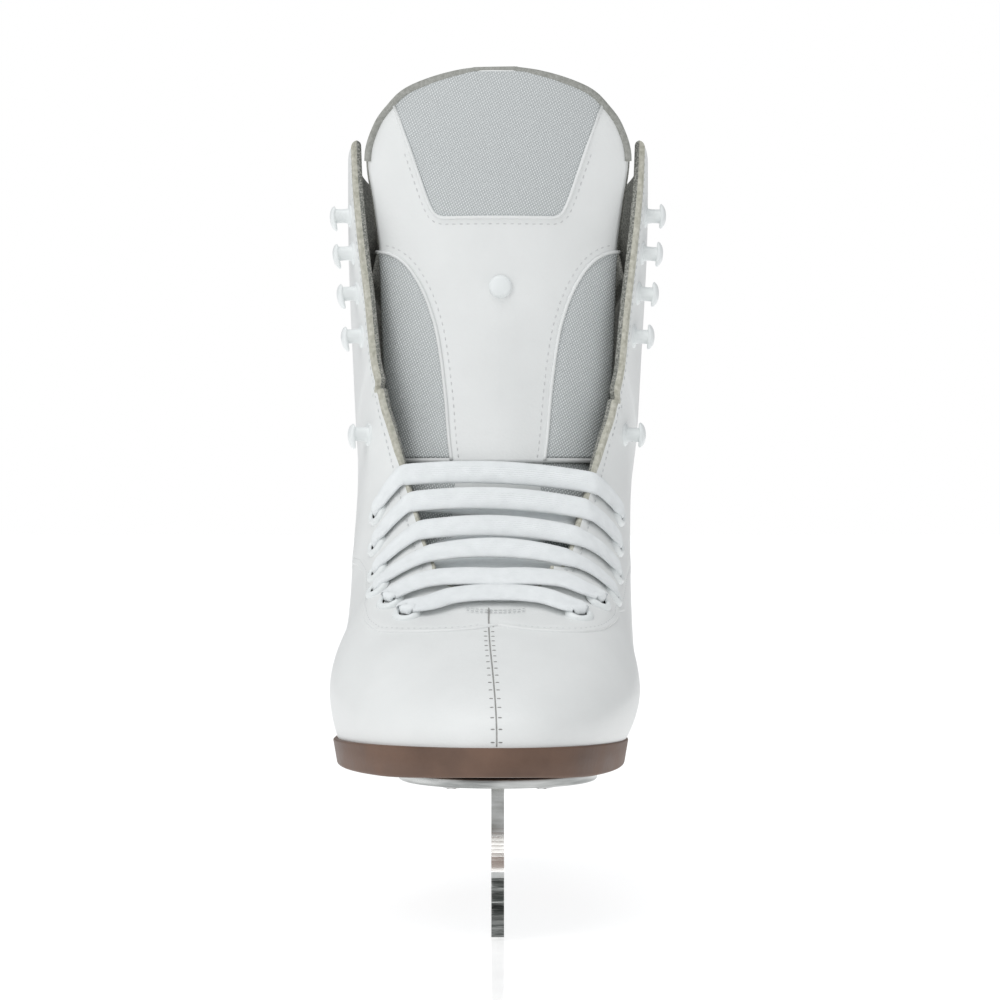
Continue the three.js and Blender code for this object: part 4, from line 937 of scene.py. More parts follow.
mesh_grey = material("mesh_grey", (0.50, 0.53, 0.54), 0.6)
mesh_coord = node(mesh_grey, "ShaderNodeTexCoord")
mesh_spots = node(mesh_grey, "ShaderNodeMapping", [("Vector", mesh_coord, "Object")], Scale=(1350, 0, 1000))
mesh_turn = node(mesh_grey, "ShaderNodeMapping", [("Vector", mesh_spots, "Vector")],
                 Rotation=(0, math.radians(28), 0))
mesh_a = node(mesh_grey, "ShaderNodeTexWave", [("Vector", mesh_turn, "Vector")], bands_direction="X",
              Scale=0.32, Distortion=0.8)
mesh_b = node(mesh_grey, "ShaderNodeTexWave", [("Vector", mesh_turn, "Vector")], bands_direction="Z",
              Scale=0.32, Distortion=0.8)
mesh_mul = node(mesh_grey, "ShaderNodeMath", operation="MULTIPLY")
mesh_grey.node_tree.links.new(mesh_a.outputs["Fac"], mesh_mul.inputs[0])
mesh_grey.node_tree.links.new(mesh_b.outputs["Fac"], mesh_mul.inputs[1])
mesh_mix = node(mesh_grey, "ShaderNodeMix", data_type="RGBA")
mesh_mix.inputs[6].default_value = (0.47, 0.495, 0.50, 1)
mesh_mix.inputs[7].default_value = (0.92, 0.95, 0.95, 1)
mesh_grey.node_tree.links.new(mesh_mul.outputs[0], mesh_mix.inputs[0])
mesh_shader = mesh_grey.node_tree.nodes["Principled BSDF"]
mesh_grey.node_tree.links.new(mesh_mix.outputs[2], mesh_shader.inputs["Base Color"])
bump(mesh_grey, mesh_mul, "Value", 0.6, 0.0004)
mesh_shader.inputs["Metallic"].default_value = 0.15
binding = material("binding_grey", (0.32, 0.325, 0.30), 0.7)
binding_coord, _ = mottle(binding, (0.27, 0.275, 0.25), (0.40, 0.405, 0.38), 800.0, 0.65, 0.15)
binding_weave = node(binding, "ShaderNodeTexVoronoi", [("Vector", binding_coord, "Object")], Scale=1800.0)
bump(binding, binding_weave, "Distance", 0.5, 0.0003)
thread = material("thread_grey", (0.66, 0.67, 0.67), 0.8)
thread_coord, _ = mottle(thread, (0.60, 0.61, 0.61), (0.74, 0.75, 0.75), 500.0, 0.75, 0.15)
thread_ply = node(thread, "ShaderNodeTexWave", [("Vector", thread_coord, "Object")], Scale=900.0)
bump(thread, thread_ply, "Fac", 0.4, 0.0002)

upper_shape = tongue_core("tongue", TONGUE_HIGH, 90, 60, False)
upper_pad = piece("tongue_pad", upper_shape, "tongue", [lining], ["tongue_upper"])


def tongue_row(z):
    """Values of the tongue's rows at height z."""
    low, high = 0.0, len(TONGUE_HIGH) - 1.0
    for _ in range(30):
        middle = (low + high) / 2
        if through(TONGUE_HIGH, 1, middle) < z:
            low = middle
        else:
            high = middle
    return [through(TONGUE_HIGH, column, low) for column in range(5)]


# How far the cover may move out, in metres, and how long the filling pushes.
PUFF_LIMIT = 0.0012
PUFF_FRAMES = 12


def settle_pad(pad, pressure):
    """Lets the filling push the cover out a little while the stitched outline stays put."""
    held = pad.vertex_groups.new(name="outline")
    for vert in pad.data.vertices:
        x, z = abs(vert.co.x) / MM, vert.co.z / MM
        hold = max(ease(x / tongue_row(z)[2], 0.6, 0.82), ease(z, 260, 270), 1 - ease(z, 149, 156))
        held.add([vert.index], hold, "REPLACE")
    cloth = pad.modifiers.new("filling", "CLOTH")
    cloth.settings.vertex_group_mass = held.name
    cloth.settings.use_pressure = True
    cloth.settings.uniform_pressure_force = pressure
    cloth.settings.tension_stiffness = 60
    cloth.settings.compression_stiffness = 60
    cloth.settings.bending_stiffness = 4
    cloth.settings.effector_weights.gravity = 0
    cloth.point_cache.frame_start = 1
    cloth.point_cache.frame_end = PUFF_FRAMES
    scene = bpy.context.scene
    bpy.context.view_layer.objects.active = pad
    before = [vert.co.copy() for vert in pad.data.vertices]
    for frame_number in range(1, PUFF_FRAMES + 1):
        scene.frame_set(frame_number)
    bpy.ops.object.modifier_apply(modifier=cloth.name)
    scene.frame_set(1)
    for vert, start in zip(pad.data.vertices, before):
        moved_by = vert.co - start
        if moved_by.length > PUFF_LIMIT:
            vert.co = start + moved_by.normalized() * PUFF_LIMIT


settle_pad(upper_pad, 3.0)

# The surface everything on the tongue is laid on.
bpy.context.view_layer.update()
depsgraph = bpy.context.evaluated_depsgraph_get()
pad_surface = BVHTree.FromObject(upper_pad, depsgraph)


def on_pad(x, z, lift):
    """Point and direction on the front of the tongue at x, z."""
    hit, normal, _, _ = pad_surface.ray_cast(Vector((x * MM, -0.2, z * MM)), Vector((0, 1, 0)))
    if hit is None:
        y, _, half, fall = (tongue_row(z)[c] for c in range(4))
        return Vector((x, y + fall * min((x / half) ** 2, 1.6) - lift, z)), Vector((0, -1, 0))
    flat = Vector((normal.x, normal.y, 0)).normalized()
    return hit / MM + flat * lift, flat


def pad_patch(name, low, high, left, right, lift, paints, body, count=(60, 60), dome=0.0, thick=0.6):
    """Patch on the tongue between two heights, its sides given by left(z) and right(z)."""
    shape = bmesh.new()
    bmesh.ops.create_grid(shape, x_segments=count[0], y_segments=count[1], size=1)
    for vert in shape.verts:
        a, b = (vert.co.x + 1) / 2, (vert.co.y + 1) / 2
        z = low + (high - low) * b
        x = left(z) + (right(z) - left(z)) * a
        rise = dome * (1 - (2 * a - 1) ** 4) * (1 - (2 * b - 1) ** 4)
        point, _ = on_pad(x, z, lift + rise)
        vert.co = point * MM
    bmesh.ops.reverse_faces(shape, faces=shape.faces[:])
    bmesh.ops.recalc_face_normals(shape, faces=shape.faces[:])
    if sum(face.normal.y for face in shape.faces) > 0:
        bmesh.ops.reverse_faces(shape, faces=shape.faces[:])
    made = piece(name, shape, body, paints)
    solid = made.modifiers.new("sheet", "SOLIDIFY")
    solid.thickness = thick * MM
    solid.offset = -1
    return made


def tube(shape, points, radius, sides=10, closed=False):
    """Round cord through points, in millimetres."""
    rings = []
    count = len(points)
    for i, point in enumerate(points):
        ahead = points[(i + 1) % count] if closed else points[min(i + 1, count - 1)]
        behind = points[i - 1] if closed or i else points[0]
        along = (ahead - behind).normalized()
        across = along.cross(Vector((0.01, -1, 0.02))).normalized()
        up = across.cross(along)
        rings.append([shape.verts.new((point + (across * math.cos(a) + up * math.sin(a)) * radius) * MM)
                      for a in steps(0, 2 * math.pi, sides)[:-1]])
    for i in range(count if closed else count - 1):
        one, two = rings[i], rings[(i + 1) % count]
        for k in range(sides):
            j = (k + 1) % sides
            shape.faces.new((one[k], one[j], two[j], two[k]))
    if not closed:
        shape.faces.new(rings[0][::-1])
        shape.faces.new(rings[-1])
    bmesh.ops.recalc_face_normals(shape, faces=shape.faces[:])


def stitch(shape, point, along, normal, length, radius):
    """One sunk-in stitch: a six-sided bead drawn out along the row."""
    across = along.cross(normal).normalized()
    rings = []
    for share, size, sink in ((-0.5, 0.45, 0.9), (-0.22, 1, 0.15), (0.22, 1, 0.15), (0.5, 0.45, 0.9)):
        middle = point + along * (share * length) - normal * (sink * radius)
        ring = []
        for a in steps(0, 2 * math.pi, 6)[:-1]:
            out = (across * math.cos(a) + normal * math.sin(a)) * radius * size
            ring.append(shape.verts.new((middle + out) * MM))
        rings.append(ring)
    for one, two in zip(rings, rings[1:]):
        for k in range(6):
            shape.faces.new((one[k], two[k], two[(k + 1) % 6], one[(k + 1) % 6]))
    shape.faces.new(rings[0])
    shape.faces.new(rings[-1][::-1])


def stitch_row(shape, path, pitch, length, radius):
    """Stitches along a path of (point, normal)."""
    run = 0.0
    due = pitch / 2
    for (a, na), (b, nb) in zip(path, path[1:]):
        gap = (b - a).length
        while due <= run + gap and gap > 1e-9:
            share = (due - run) / gap
            stitch(shape, a.lerp(b, share), (b - a).normalized(), na.lerp(nb, share).normalized(), length,
                   radius)
            due += pitch
        run += gap


# The leather face stands this proud of the pad and stops this far short of its outline, in millimetres.
FACE_LIFT = 0.9
EDGE_IN = 1.3


def face_left(z):
    half = tongue_row(z)[2]
    return -(half - EDGE_IN * min(1, half / 20))


pad_patch("tongue_face_leather", 147.4, 279.8, face_left, lambda z: -face_left(z), FACE_LIFT,
          [leather, raw_edge], "tongue", (90, 130), thick=1.2)


def beside(outline, grow, lift):
    """Path on the tongue beside an open outline of (x, z), moved to its right by grow."""
    path = []
    last = len(outline) - 1
    for i, (x, z) in enumerate(outline):
        x0, z0 = outline[max(i - 1, 0)]
        x1, z1 = outline[min(i + 1, last)]
        size = math.hypot(x1 - x0, z1 - z0)
        path.append(on_pad(x + (z1 - z0) / size * grow, z - (x1 - x0) / size * grow, lift))
    return path


def across(points):
    """Straight-line lookup: x at a height from (z, x) pairs, low to high."""
    def at(z):
        if z <= points[0][0]:
            return points[0][1]
        for (z0, x0), (z1, x1) in zip(points, points[1:]):
            if z <= z1:
                k = (z - z0) / (z1 - z0)
                return x0 + (x1 - x0) * k
        return points[-1][1]
    return at


# Half width of the top window from its rounded lower corners up, and the inner edge of both side windows.
# All three windows run out to the bound edge of the tongue.
TOP_WINDOW = [(231.0, 18.6), (231.5, 20.2), (232.6, 21.5), (234.6, 22.6), (238, 24.0), (254, 29.4),
              (270.6, 35.0)]
SIDE_WINDOW = [(148, -15.4), (156.3, -16.4), (170.5, -17.6), (184.5, -19.3), (194.7, -21.2), (204.9, -24.6),
               (212.7, -28.9), (217.0, -32.8), (219.4, -37), (220.2, -41)]
TOP_END = 270.6
top_width = across(TOP_WINDOW)


def top_right(z):
    return min(top_width(z) if z < TOP_END else 60, -face_left(z) + 0.2)


pad_patch("top_window_mesh", TOP_WINDOW[0][0], 279.4, lambda z: -top_right(z), top_right, FACE_LIFT + 0.06,
          [mesh_grey], "tongue", (80, 90), dome=0.3)
outline = [(x, z) for z, x in TOP_WINDOW[::-1]]
outline += [(x, 231.0) for x in steps(16, -16, 16)]
outline += [(-x, z) for z, x in TOP_WINDOW]
shape = bmesh.new()
tube(shape, [point for point, _ in beside(outline, -0.2, FACE_LIFT + 0.28)], 0.6)
piece("top_window_lip", shape, "tongue", [leather])
tongue_thread = bmesh.new()
stitch_row(tongue_thread, beside(outline, -2.4, FACE_LIFT)[1:-1], 2.5, 1.6, 0.22)

for side_name, side in SIDES:
    inner = across(SIDE_WINDOW)

    def inner_x(z):
        return -side * inner(z)

    def outer_x(z):
        return side * (tongue_row(z)[2] - 0.9)

    left, right = (outer_x, inner_x) if side < 0 else (inner_x, outer_x)
    pad_patch(f"side_mesh_{side_name}", 148.8, 220.0, left, right, FACE_LIFT + 0.06, [mesh_grey], "tongue",
              (30, 80), dome=0.7)
    shape = bmesh.new()
    curve, _ = curve_points([Vector((-side * x, 0, z)) for z, x in SIDE_WINDOW], 80)
    tube(shape, [on_pad(p.x, p.z, FACE_LIFT + 0.3)[0] for p in curve], 0.6)
    piece(f"side_window_lip_{side_name}", shape, "tongue", [leather])
    row = beside([(p.x, p.z) for p in curve], 2.4 * -side, FACE_LIFT)
    stitch_row(tongue_thread, row[:-2], 2.6, 1.7, 0.24)
piece("tongue_stitches", tongue_thread, "tongue", [thread])

# Dark bound edge round the top half of the tongue.
shape = bmesh.new()
rim = []
for a in steps(0, 2 * len(TONGUE_HIGH) - 2, 150):
    side = -1 if a < len(TONGUE_HIGH) - 1 else 1
    place = a if side < 0 else 2 * len(TONGUE_HIGH) - 2 - a
    y, z, half, fall = (through(TONGUE_HIGH, c, place) for c in range(4))
    rim.append(Vector((side * (half - 0.7), y + fall + 0.4, z)))
rim_path, _ = curve_points(rim[40:-40], 160)
tube(shape, rim_path, 1.25, sides=12)
piece("tongue_binding", shape, "tongue", [binding])

# Round snap stud in the middle of the tongue, slightly domed with a rounded rim.
white_plastic = material("white_plastic", (0.80, 0.83, 0.83), 0.3)
plastic_coord, _ = mottle(white_plastic, (0.78, 0.81, 0.81), (0.84, 0.87, 0.87), 150.0, 0.24, 0.14)
plastic_wave = node(white_plastic, "ShaderNodeTexNoise", [("Vector", plastic_coord, "Object")], Scale=320.0)
bump(white_plastic, plastic_wave, "Fac", 0.12, 0.0004)
# Near-black painted shade for the inside of the eyelets: their inner wall and a disc across the bore stand in
# for the shade down the hole.
eyelet_bore_painted_shade = material("eyelet_bore_painted_shade", (0.03, 0.03, 0.03), 0.9)
mottle(eyelet_bore_painted_shade, (0.02, 0.02, 0.02), (0.05, 0.05, 0.05), 300.0, 0.85, 0.1)


def turn_about(shape, profile, place, axis, up, count=36):
    """Turned piece from (radius, height) steps, its height along axis from place, in millimetres."""
    z = axis.normalized()
    x = up.cross(z).normalized()
    y = z.cross(x)
    frame_matrix = Matrix((x, y, z)).transposed().to_4x4()
    frame_matrix.translation = place * MM
    start = [shape.verts.new((max(r, 0.001) * MM, 0, h * MM)) for r, h in profile]
    edges = [shape.edges.new(pair) for pair in zip(start, start[1:])]
    bmesh.ops.spin(shape, geom=start + edges, cent=(0, 0, 0), axis=(0, 0, 1), angle=2 * math.pi,
                   steps=count, use_duplicate=False, use_merge=True)
    own = {v for v in shape.verts if v.tag is False}
    bmesh.ops.transform(shape, matrix=frame_matrix, verts=list(own))
    for vert in own:
        vert.tag = True
    bmesh.ops.remove_doubles(shape, verts=list(own), dist=2e-6)


def finish_turned(shape):
    bmesh.ops.recalc_face_normals(shape, faces=shape.faces[:])


stud_place, _ = on_pad(0.8, 207.2, FACE_LIFT)
shape = bmesh.new()
turn_about(shape, [(0, 2.0), (1.5, 1.97), (2.6, 1.85), (3.3, 1.6), (3.75, 1.2), (3.95, 0.6), (3.95, -0.4)],
           stud_place, Vector((0, -1, 0)), Vector((0, 0, 1)), 48)
finish_turned(shape)
piece("stud_cap", shape, "tongue", [white_plastic], ["tongue_stud"])

# Lower half of the tongue, under the lacing, in the same white leather with mesh along both edges.
LOW_LEATHER_HALF = 15
low_shape = tongue_core("tongue_low", TONGUE_LOW, 60, 60, True)
for face in low_shape.faces:
    if abs(face.calc_center_median().x) > LOW_LEATHER_HALF * MM:
        face.material_index = 1
low_pad = piece("tongue_low_pad", low_shape, "boot", [leather, mesh_grey], ["tongue_lower"])

# ---- Eyelets, hooks and lacing -----------------------------------------------------------------------
# Six coated eyelets and five speed hooks a side, and one flat lace run straight across: a bar over every
# eyelet pair, crossings under the facing.
EYELETS = {
    -1: [(-0.44, 0.33), (-0.23, 0.32), (0.15, 0.35), (1.1, 0.375), (2.2, 0.389), (3.17, 0.374)],
    1: [(-0.43, 0.335), (-0.15, 0.35), (0.75, 0.44), (1.9, 0.465), (2.83, 0.456), (3.75, 0.443)],
}
EYELET_ROWS = 6
HOOK_HEIGHTS = [157, 191, 206, 220, 233]
HOOK_INSETS = [15, 10.5, 10.5, 10.5, 10.5]
UP = Vector((0, 0, 1))


def eyelet_at(side, i):
    return EYELETS[side][i]


def hook_at(side, height, inset):
    def t_for(u):
        t = t_at_width(side, u, cut(side, u)[OPEN])
        start = skin_point(side, u, t)
        while (skin_point(side, u, t) - start).length < inset:
            t += 0.001
        return t
    low, high = 3.0, float(COLLAR)
    for _ in range(24):
        middle = (low + high) / 2
        if skin_point(side, middle, t_for(middle)).z < height:
            low = middle
        else:
            high = middle
    return low, t_for(low)


EYELET_RIM = [(2.3, -0.6), (2.3, 0.7), (2.55, 1.15), (3.1, 1.4), (3.8, 1.25), (4.4, 0.75), (4.7, 0.1),
              (4.7, -0.4)]
# A flat disc across the eyelet's bore, coloured as painted shade in the hole.
EYELET_SHADE_DISC = [(0, -0.3), (2.5, -0.3)]
HOOK_BASE = [(0, 0.6), (2.9, 0.65), (3.5, 0.55), (4.0, 0.25), (4.1, -0.2), (4.1, -0.5)]
HOOK_STEM = [(3.0, 0.4), (2.6, 0.9), (2.45, 1.8), (2.4, 3.2), (2.45, 4.6), (2.6, 6.0)]
HEAD_DROP = {-1: -0.9, 1: 0.0}


def hook_head(shape, place, axis, side):
    """Oval head across the stem: its tips thin out and turn back toward the leather."""
    x = UP.cross(axis).normalized()
    y = axis.cross(x)
    rings = []
    for k in steps(-1, 1, 24):
        long = 4.3 * powered(k, 0.85) + HEAD_DROP[side]
        size = max(1 - abs(k) ** 2.6, 0.02) ** 0.5
        ring = []
        for a in steps(0, 2 * math.pi, 20)[:-1]:
            out = 6.1 - 0.045 * long * long + 0.95 * size * powered(math.sin(a), 0.8)
            wide = 2.8 * size * powered(math.cos(a), 0.8)
            ring.append(shape.verts.new((place + x * wide + y * long + axis * out) * MM))
        rings.append(ring)
    for one, two in zip(rings, rings[1:]):
        for k in range(20):
            shape.faces.new((one[k], one[(k + 1) % 20], two[(k + 1) % 20], two[k]))
    shape.faces.new(rings[0])
    shape.faces.new(rings[-1])
    for ring in rings:
        for vert in ring:
            vert.tag = True


for side_name, side in SIDES:
    for i in range(EYELET_ROWS):
        u, t = eyelet_at(side, i)
        place, axis = skin_point(side, u, t), skin_normal(side, u, t)
        rise = overlap_at(u) * (1 - ease((vamp_seam(side, u) - t) * mm_per_t(side, u, t), 2, 15))
        place = place + axis * rise
        shape = bmesh.new()
        turn_about(shape, EYELET_RIM, place, axis, UP)
        turn_about(shape, EYELET_SHADE_DISC, place, axis, UP, 20)
        finish_turned(shape)
        # Faces inside the bore, the inner wall and the disc, take the near-black painted shade.
        for face in shape.faces:
            centre = face.calc_center_median() / MM - place
            if (centre - axis * centre.dot(axis)).length < 2.36 and centre.dot(axis) < 0.5:
                face.material_index = 1
        piece(f"eyelet_{side_name}_ring_{i + 1}", shape, "boot", [white_plastic, eyelet_bore_painted_shade],
              [f"eyelet_{side_name}_{i + 1}"])
    for i, height in enumerate(HOOK_HEIGHTS):
        u, t = hook_at(side, height, HOOK_INSETS[i])
        place, axis = skin_point(side, u, t), skin_normal(side, u, t)
        shape = bmesh.new()
        turn_about(shape, HOOK_BASE, place, axis, UP)
        turn_about(shape, HOOK_STEM, place, axis, UP, 24)
        hook_head(shape, place, axis, side)
        finish_turned(shape)
        piece(f"hook_{side_name}_cast_{i + 1}", shape, "boot" if i == 0 else f"{side_name}_flap",
              [white_plastic], [f"hook_{side_name}_{i + 1}"])

BAR_CUTS = [0.35, 1.36, 2.45, 3.44]
BAR_BOW = 2.6
OVER_LIFT = 1.6
UNDER_LIFT = -4.6
UNDER_BOW = 2.2
LOW_BARS = [
    [(0, -67.4), (8, -67.7), (15, -68.8), (21.5, -71.4)],
    [(0, -60.6), (10, -60.2), (20, -60), (27, -61)],
]
# Side and eyelet rows that each crossing joins, under the facing.
CROSSINGS = [(1, 0, 1), (-1, 0, 2), (1, 1, 3), (-1, 2, 4), (1, 3, 5)]


def settle(side, x, y):
    """Surface position above a plan point, found by walking with a shrinking step."""
    best = (1e9, 0.0, 0.3)

    def look(u, t):
        nonlocal best
        point = skin_point(side, u, t)
        gap = math.hypot(point.x - x, point.y - y)
        if gap < best[0]:
            best = (gap, u, t)

    for u in steps(-1, 6, 70):
        for t in steps(0.01, 0.61, 20):
            look(u, t)
    step = 0.05
    while step > 1e-4:
        _, u, t = best
        for du in (-1, 0, 1):
            for dt in (-1, 0, 1):
                look(min(max(u + du * step * 2, -1), 8), max(t + dt * step * 0.6, 0.002))
        step *= 0.6
    return best[1], best[2]


def lace_stop(side, u, t, lift, wide=LACE_WIDE, thick=LACE_THICK):
    return [on_skin(side, u, t, lift), skin_normal(side, u, t), wide, thick]


def bar_end(side, i):
    """From the facing edge down to the eyelet, where the lace folds up narrow and dives through."""
    u, t = eyelet_at(side, i)
    if i < 2:
        u_bar, t_bar, shares = u, t * 0.86, [0.55]
    else:
        u_bar = BAR_CUTS[i - 2]
        t_bar = t_at_width(side, u_bar, cut(side, u_bar)[OPEN])
        shares = [0.12, 0.3, 0.5, 0.7]
    raised = OVERLAP if i < 2 else 0
    stops = []
    for k in shares:
        narrow = LACE_WIDE * (1 - 0.12 * k)
        stops.append(lace_stop(side, u_bar + (u - u_bar) * k, t_bar + (t - t_bar) * k, OVER_LIFT + raised,
                               narrow))
    u_in, t_in = u_bar + (u - u_bar) * 0.88, t_bar + (t - t_bar) * 0.88
    stops.append(lace_stop(side, u_in, t_in, OVER_LIFT + raised + 0.2, 6.2, 2.0))
    stops.append(lace_stop(side, u, t, 0.9 + raised, 4.2, 2.3))
    stops.append(lace_stop(side, u + (u - u_bar) * 0.02, t, -1.2, 3.8, 2.3))
    return stops


def bar(i):
    middle = []
    if i < 2:
        for side in (-1, 1):
            half = []
            for x, y in LOW_BARS[i]:
                if x > 0 or side < 0:
                    u, t = settle(side, side * max(x, 0.5), y)
                    half.append(lace_stop(side, u, t, OVER_LIFT + OVERLAP))
            middle += half[::-1] if side < 0 else half
    else:
        u = BAR_CUTS[i - 2]
        ends = [on_skin(s, u, t_at_width(s, u, cut(s, u)[OPEN]), OVER_LIFT) for s in (-1, 1)]
        row = cut(1, u)
        out = Vector((0, row[RIDGE_Y] - row[SOLE_Y], row[RIDGE_Z] - row[SOLE_Z])).normalized()
        face = Vector((0, -min(0.5 + 0.1 * i, 0.9), 0.75 - 0.06 * i)).normalized()
        for k in steps(0.02, 0.98, 8):
            point = ends[0].lerp(ends[1], k) + out * (BAR_BOW * 4 * k * (1 - k))
            side_face = skin_normal(-1 if k < 0.5 else 1, u, 0.25)
            middle.append([point, face.lerp(side_face, abs(k - 0.5)).normalized(), LACE_WIDE, LACE_THICK])
    return bar_end(-1, i)[::-1] + middle + bar_end(1, i)


def crossing(side, i, j):
    """Under the facing from eyelet row i on one side to row j on the other."""
    a, b = eyelet_at(side, i), eyelet_at(-side, j)
    near = max(a[0] + (b[0] - a[0]) * 0.3, 0.05)
    far = max(a[0] + (b[0] - a[0]) * 0.7, 0.05)

    def half(s, spot, u):
        edge = t_at_width(s, u, cut(s, u)[OPEN])
        return [lace_stop(s, spot[0], spot[1], -1.0, 4, 2.2),
                lace_stop(s, (spot[0] + u) / 2, (spot[1] + edge) / 2, UNDER_LIFT),
                lace_stop(s, u, edge, UNDER_LIFT)]

    first, last = half(side, a, near), half(-side, b, far)[::-1]
    row = cut(1, (near + far) / 2)
    out = Vector((0, row[RIDGE_Y] - row[SOLE_Y], row[RIDGE_Z] - row[SOLE_Z])).normalized()
    middle = []
    for k in (0.25, 0.5, 0.75):
        point = first[2][0].lerp(last[0][0], k) + out * (UNDER_BOW * 4 * k * (1 - k))
        middle.append([point, first[2][1].lerp(last[0][1], k).normalized(), LACE_WIDE, LACE_THICK])
    return first + middle + last


def smooth_stops(stops, per_gap=8):
    """Fills in stops along a smooth curve."""
    dense = []
    for place in steps(0, len(stops) - 1, (len(stops) - 1) * per_gap):
        i = min(int(place), len(stops) - 2)
        share = place - i
        rows = [tuple(stop[0]) for stop in stops]
        point = Vector([through(rows, axis, place) for axis in range(3)])
        face = stops[i][1].lerp(stops[i + 1][1], share).normalized()
        wide = stops[i][2] + (stops[i + 1][2] - stops[i][2]) * share
        thick = stops[i][3] + (stops[i + 1][3] - stops[i][3]) * share
        dense.append((point, face, wide, thick))
    return dense


shape = bmesh.new()
for i in range(EYELET_ROWS):
    ribbon(shape, smooth_stops(bar(i)), 20)
for side, i, j in CROSSINGS:
    ribbon(shape, smooth_stops(crossing(side, i, j)), 16)
bmesh.ops.recalc_face_normals(shape, faces=shape.faces[:])
piece("lacing", shape, "boot", [lace_white], ["lace"])

# ---- Seams, stitches and backstay --------------------------------------------------------------------
# Thread rows along the facing and the quarter's lower edge, cross stitches over the toe seam, and the strip
# up the back.


def skin_path(side, spots, lift=0.0, count=12):
    """Path of (point, normal) over the skin through (u, t) spots."""
    path = []
    for place in steps(0, len(spots) - 1, (len(spots) - 1) * count):
        u, t = through(spots, 0, place), through(spots, 1, place)
        path.append((on_skin(side, u, t, lift), skin_normal(side, u, t)))
    return path


white_thread = material("thread_white", (0.62, 0.64, 0.64), 0.8)
white_coord, _ = mottle(white_thread, (0.56, 0.58, 0.58), (0.68, 0.70, 0.70), 500.0, 0.75, 0.15)
white_ply = node(white_thread, "ShaderNodeTexWave", [("Vector", white_coord, "Object")], Scale=900.0)
bump(white_thread, white_ply, "Fac", 0.4, 0.0002)

seam_dark = material("seam_shadow", (0.30, 0.30, 0.29), 0.9)
mottle(seam_dark, (0.24, 0.24, 0.23), (0.38, 0.38, 0.37), 600.0, 0.85, 0.1)
cross_thread = bmesh.new()
boot_thread = bmesh.new()
for side_name, side in SIDES:
    flap_thread = bmesh.new()
    spots = [(u, open_edge(side, u) + FACING_ROW / mm_per_t(side, u, open_edge(side, u)))
             for u in steps(0.0, SHAFT_FROM, 40)]
    stitch_row(boot_thread, skin_path(side, spots, -0.2, 2), 2.6, 1.7, 0.24)
    spots = [(u, open_edge(side, u) + FACING_ROW / mm_per_t(side, u, open_edge(side, u)))
             for u in steps(SHAFT_FROM + 0.1, COLLAR - 0.1, 60)]
    stitch_row(flap_thread, skin_path(side, spots, -0.2, 2), 2.6, 1.7, 0.24)
    flap = f"{side_name}_flap"
    made = piece(f"shaft_stitches_{side_name}", flap_thread, None, [white_thread])
    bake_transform(made)
    path = []
    for u in steps(-0.9, 4.3, 240):
        t = vamp_seam(side, u) - SEAM_ROW / mm_per_t(side, u, open_edge(side, u))
        path.append((on_skin(side, u, t, overlap_at(u) - 0.2), skin_normal(side, u, t)))
    stitch_row(boot_thread, path, 2.0, 1.2, 0.16)

# Toe seam: a dark closed seam that drifts a little to the left toward the lacing, with a pair of short
# stitches over it every few millimetres and a bar tack under the lowest lace.
SEAM_DRIFT = 2.6
CROSS_PITCH = 3.6
TACK_SPAN = (-10.5, 9.0)
TACK_LEVELS = (0.225, 0.238)
CROSS_REACH = 1.15


def seam_spot(t, x):
    """Place on the toe near its middle line, x millimetres to one side."""
    side = -1 if x < 0 else 1
    row = cut(side, -1)
    wide = row[WIDE_LEFT if side < 0 else WIDE_RIGHT]
    reach = wide * max(math.sin(t * row[WRAP]), 0.05) ** FRONT_POWER
    turn_left = (abs(x) / reach) ** (1 / TOE_ROUND[side]) / (math.pi / 2)
    return side, -1 + turn_left, t


def seam_x(t):
    return -SEAM_DRIFT * (1 - ease(t, 0.25, 0.95)) - 0.3


seam_line = []
for t in steps(0.215, 0.985, 120):
    side, u, _ = seam_spot(t, seam_x(t))
    raised = OVERLAP * ease(0.3 + 0.004 - t, 0, 0.004)
    seam_line.append((t, on_skin(side, u, t, raised), skin_normal(side, u, t)))
shape = bmesh.new()
tube(shape, [point - normal * 0.08 for _, point, normal in seam_line], 0.26, 8)
piece("toe_seam_line", shape, "boot", [seam_dark])
run = 0.0
due = 2.0
for (t, a, na), (_, b, _) in zip(seam_line, seam_line[1:]):
    run += (b - a).length
    if run >= due and t > 0.31:
        for reach in (-CROSS_REACH, CROSS_REACH):
            side, u, _ = seam_spot(t, seam_x(t) + reach)
            stitch(cross_thread, on_skin(side, u, t, 0.02), Vector((1, 0, 0)), skin_normal(side, u, t), 1.5,
                   0.2)
        due = run + CROSS_PITCH
for level in TACK_LEVELS:
    tack = []
    for x in steps(*TACK_SPAN, 14):
        side, u, t = seam_spot(level + 0.00009 * x, x)
        tack.append((on_skin(side, u, t, OVERLAP), skin_normal(side, u, t)))
    stitch_row(boot_thread, tack, 1.5, 1.1, 0.15)
piece("toe_cross_stitches", cross_thread, "boot", [seam_dark])
piece("boot_stitches", boot_thread, "boot", [white_thread])

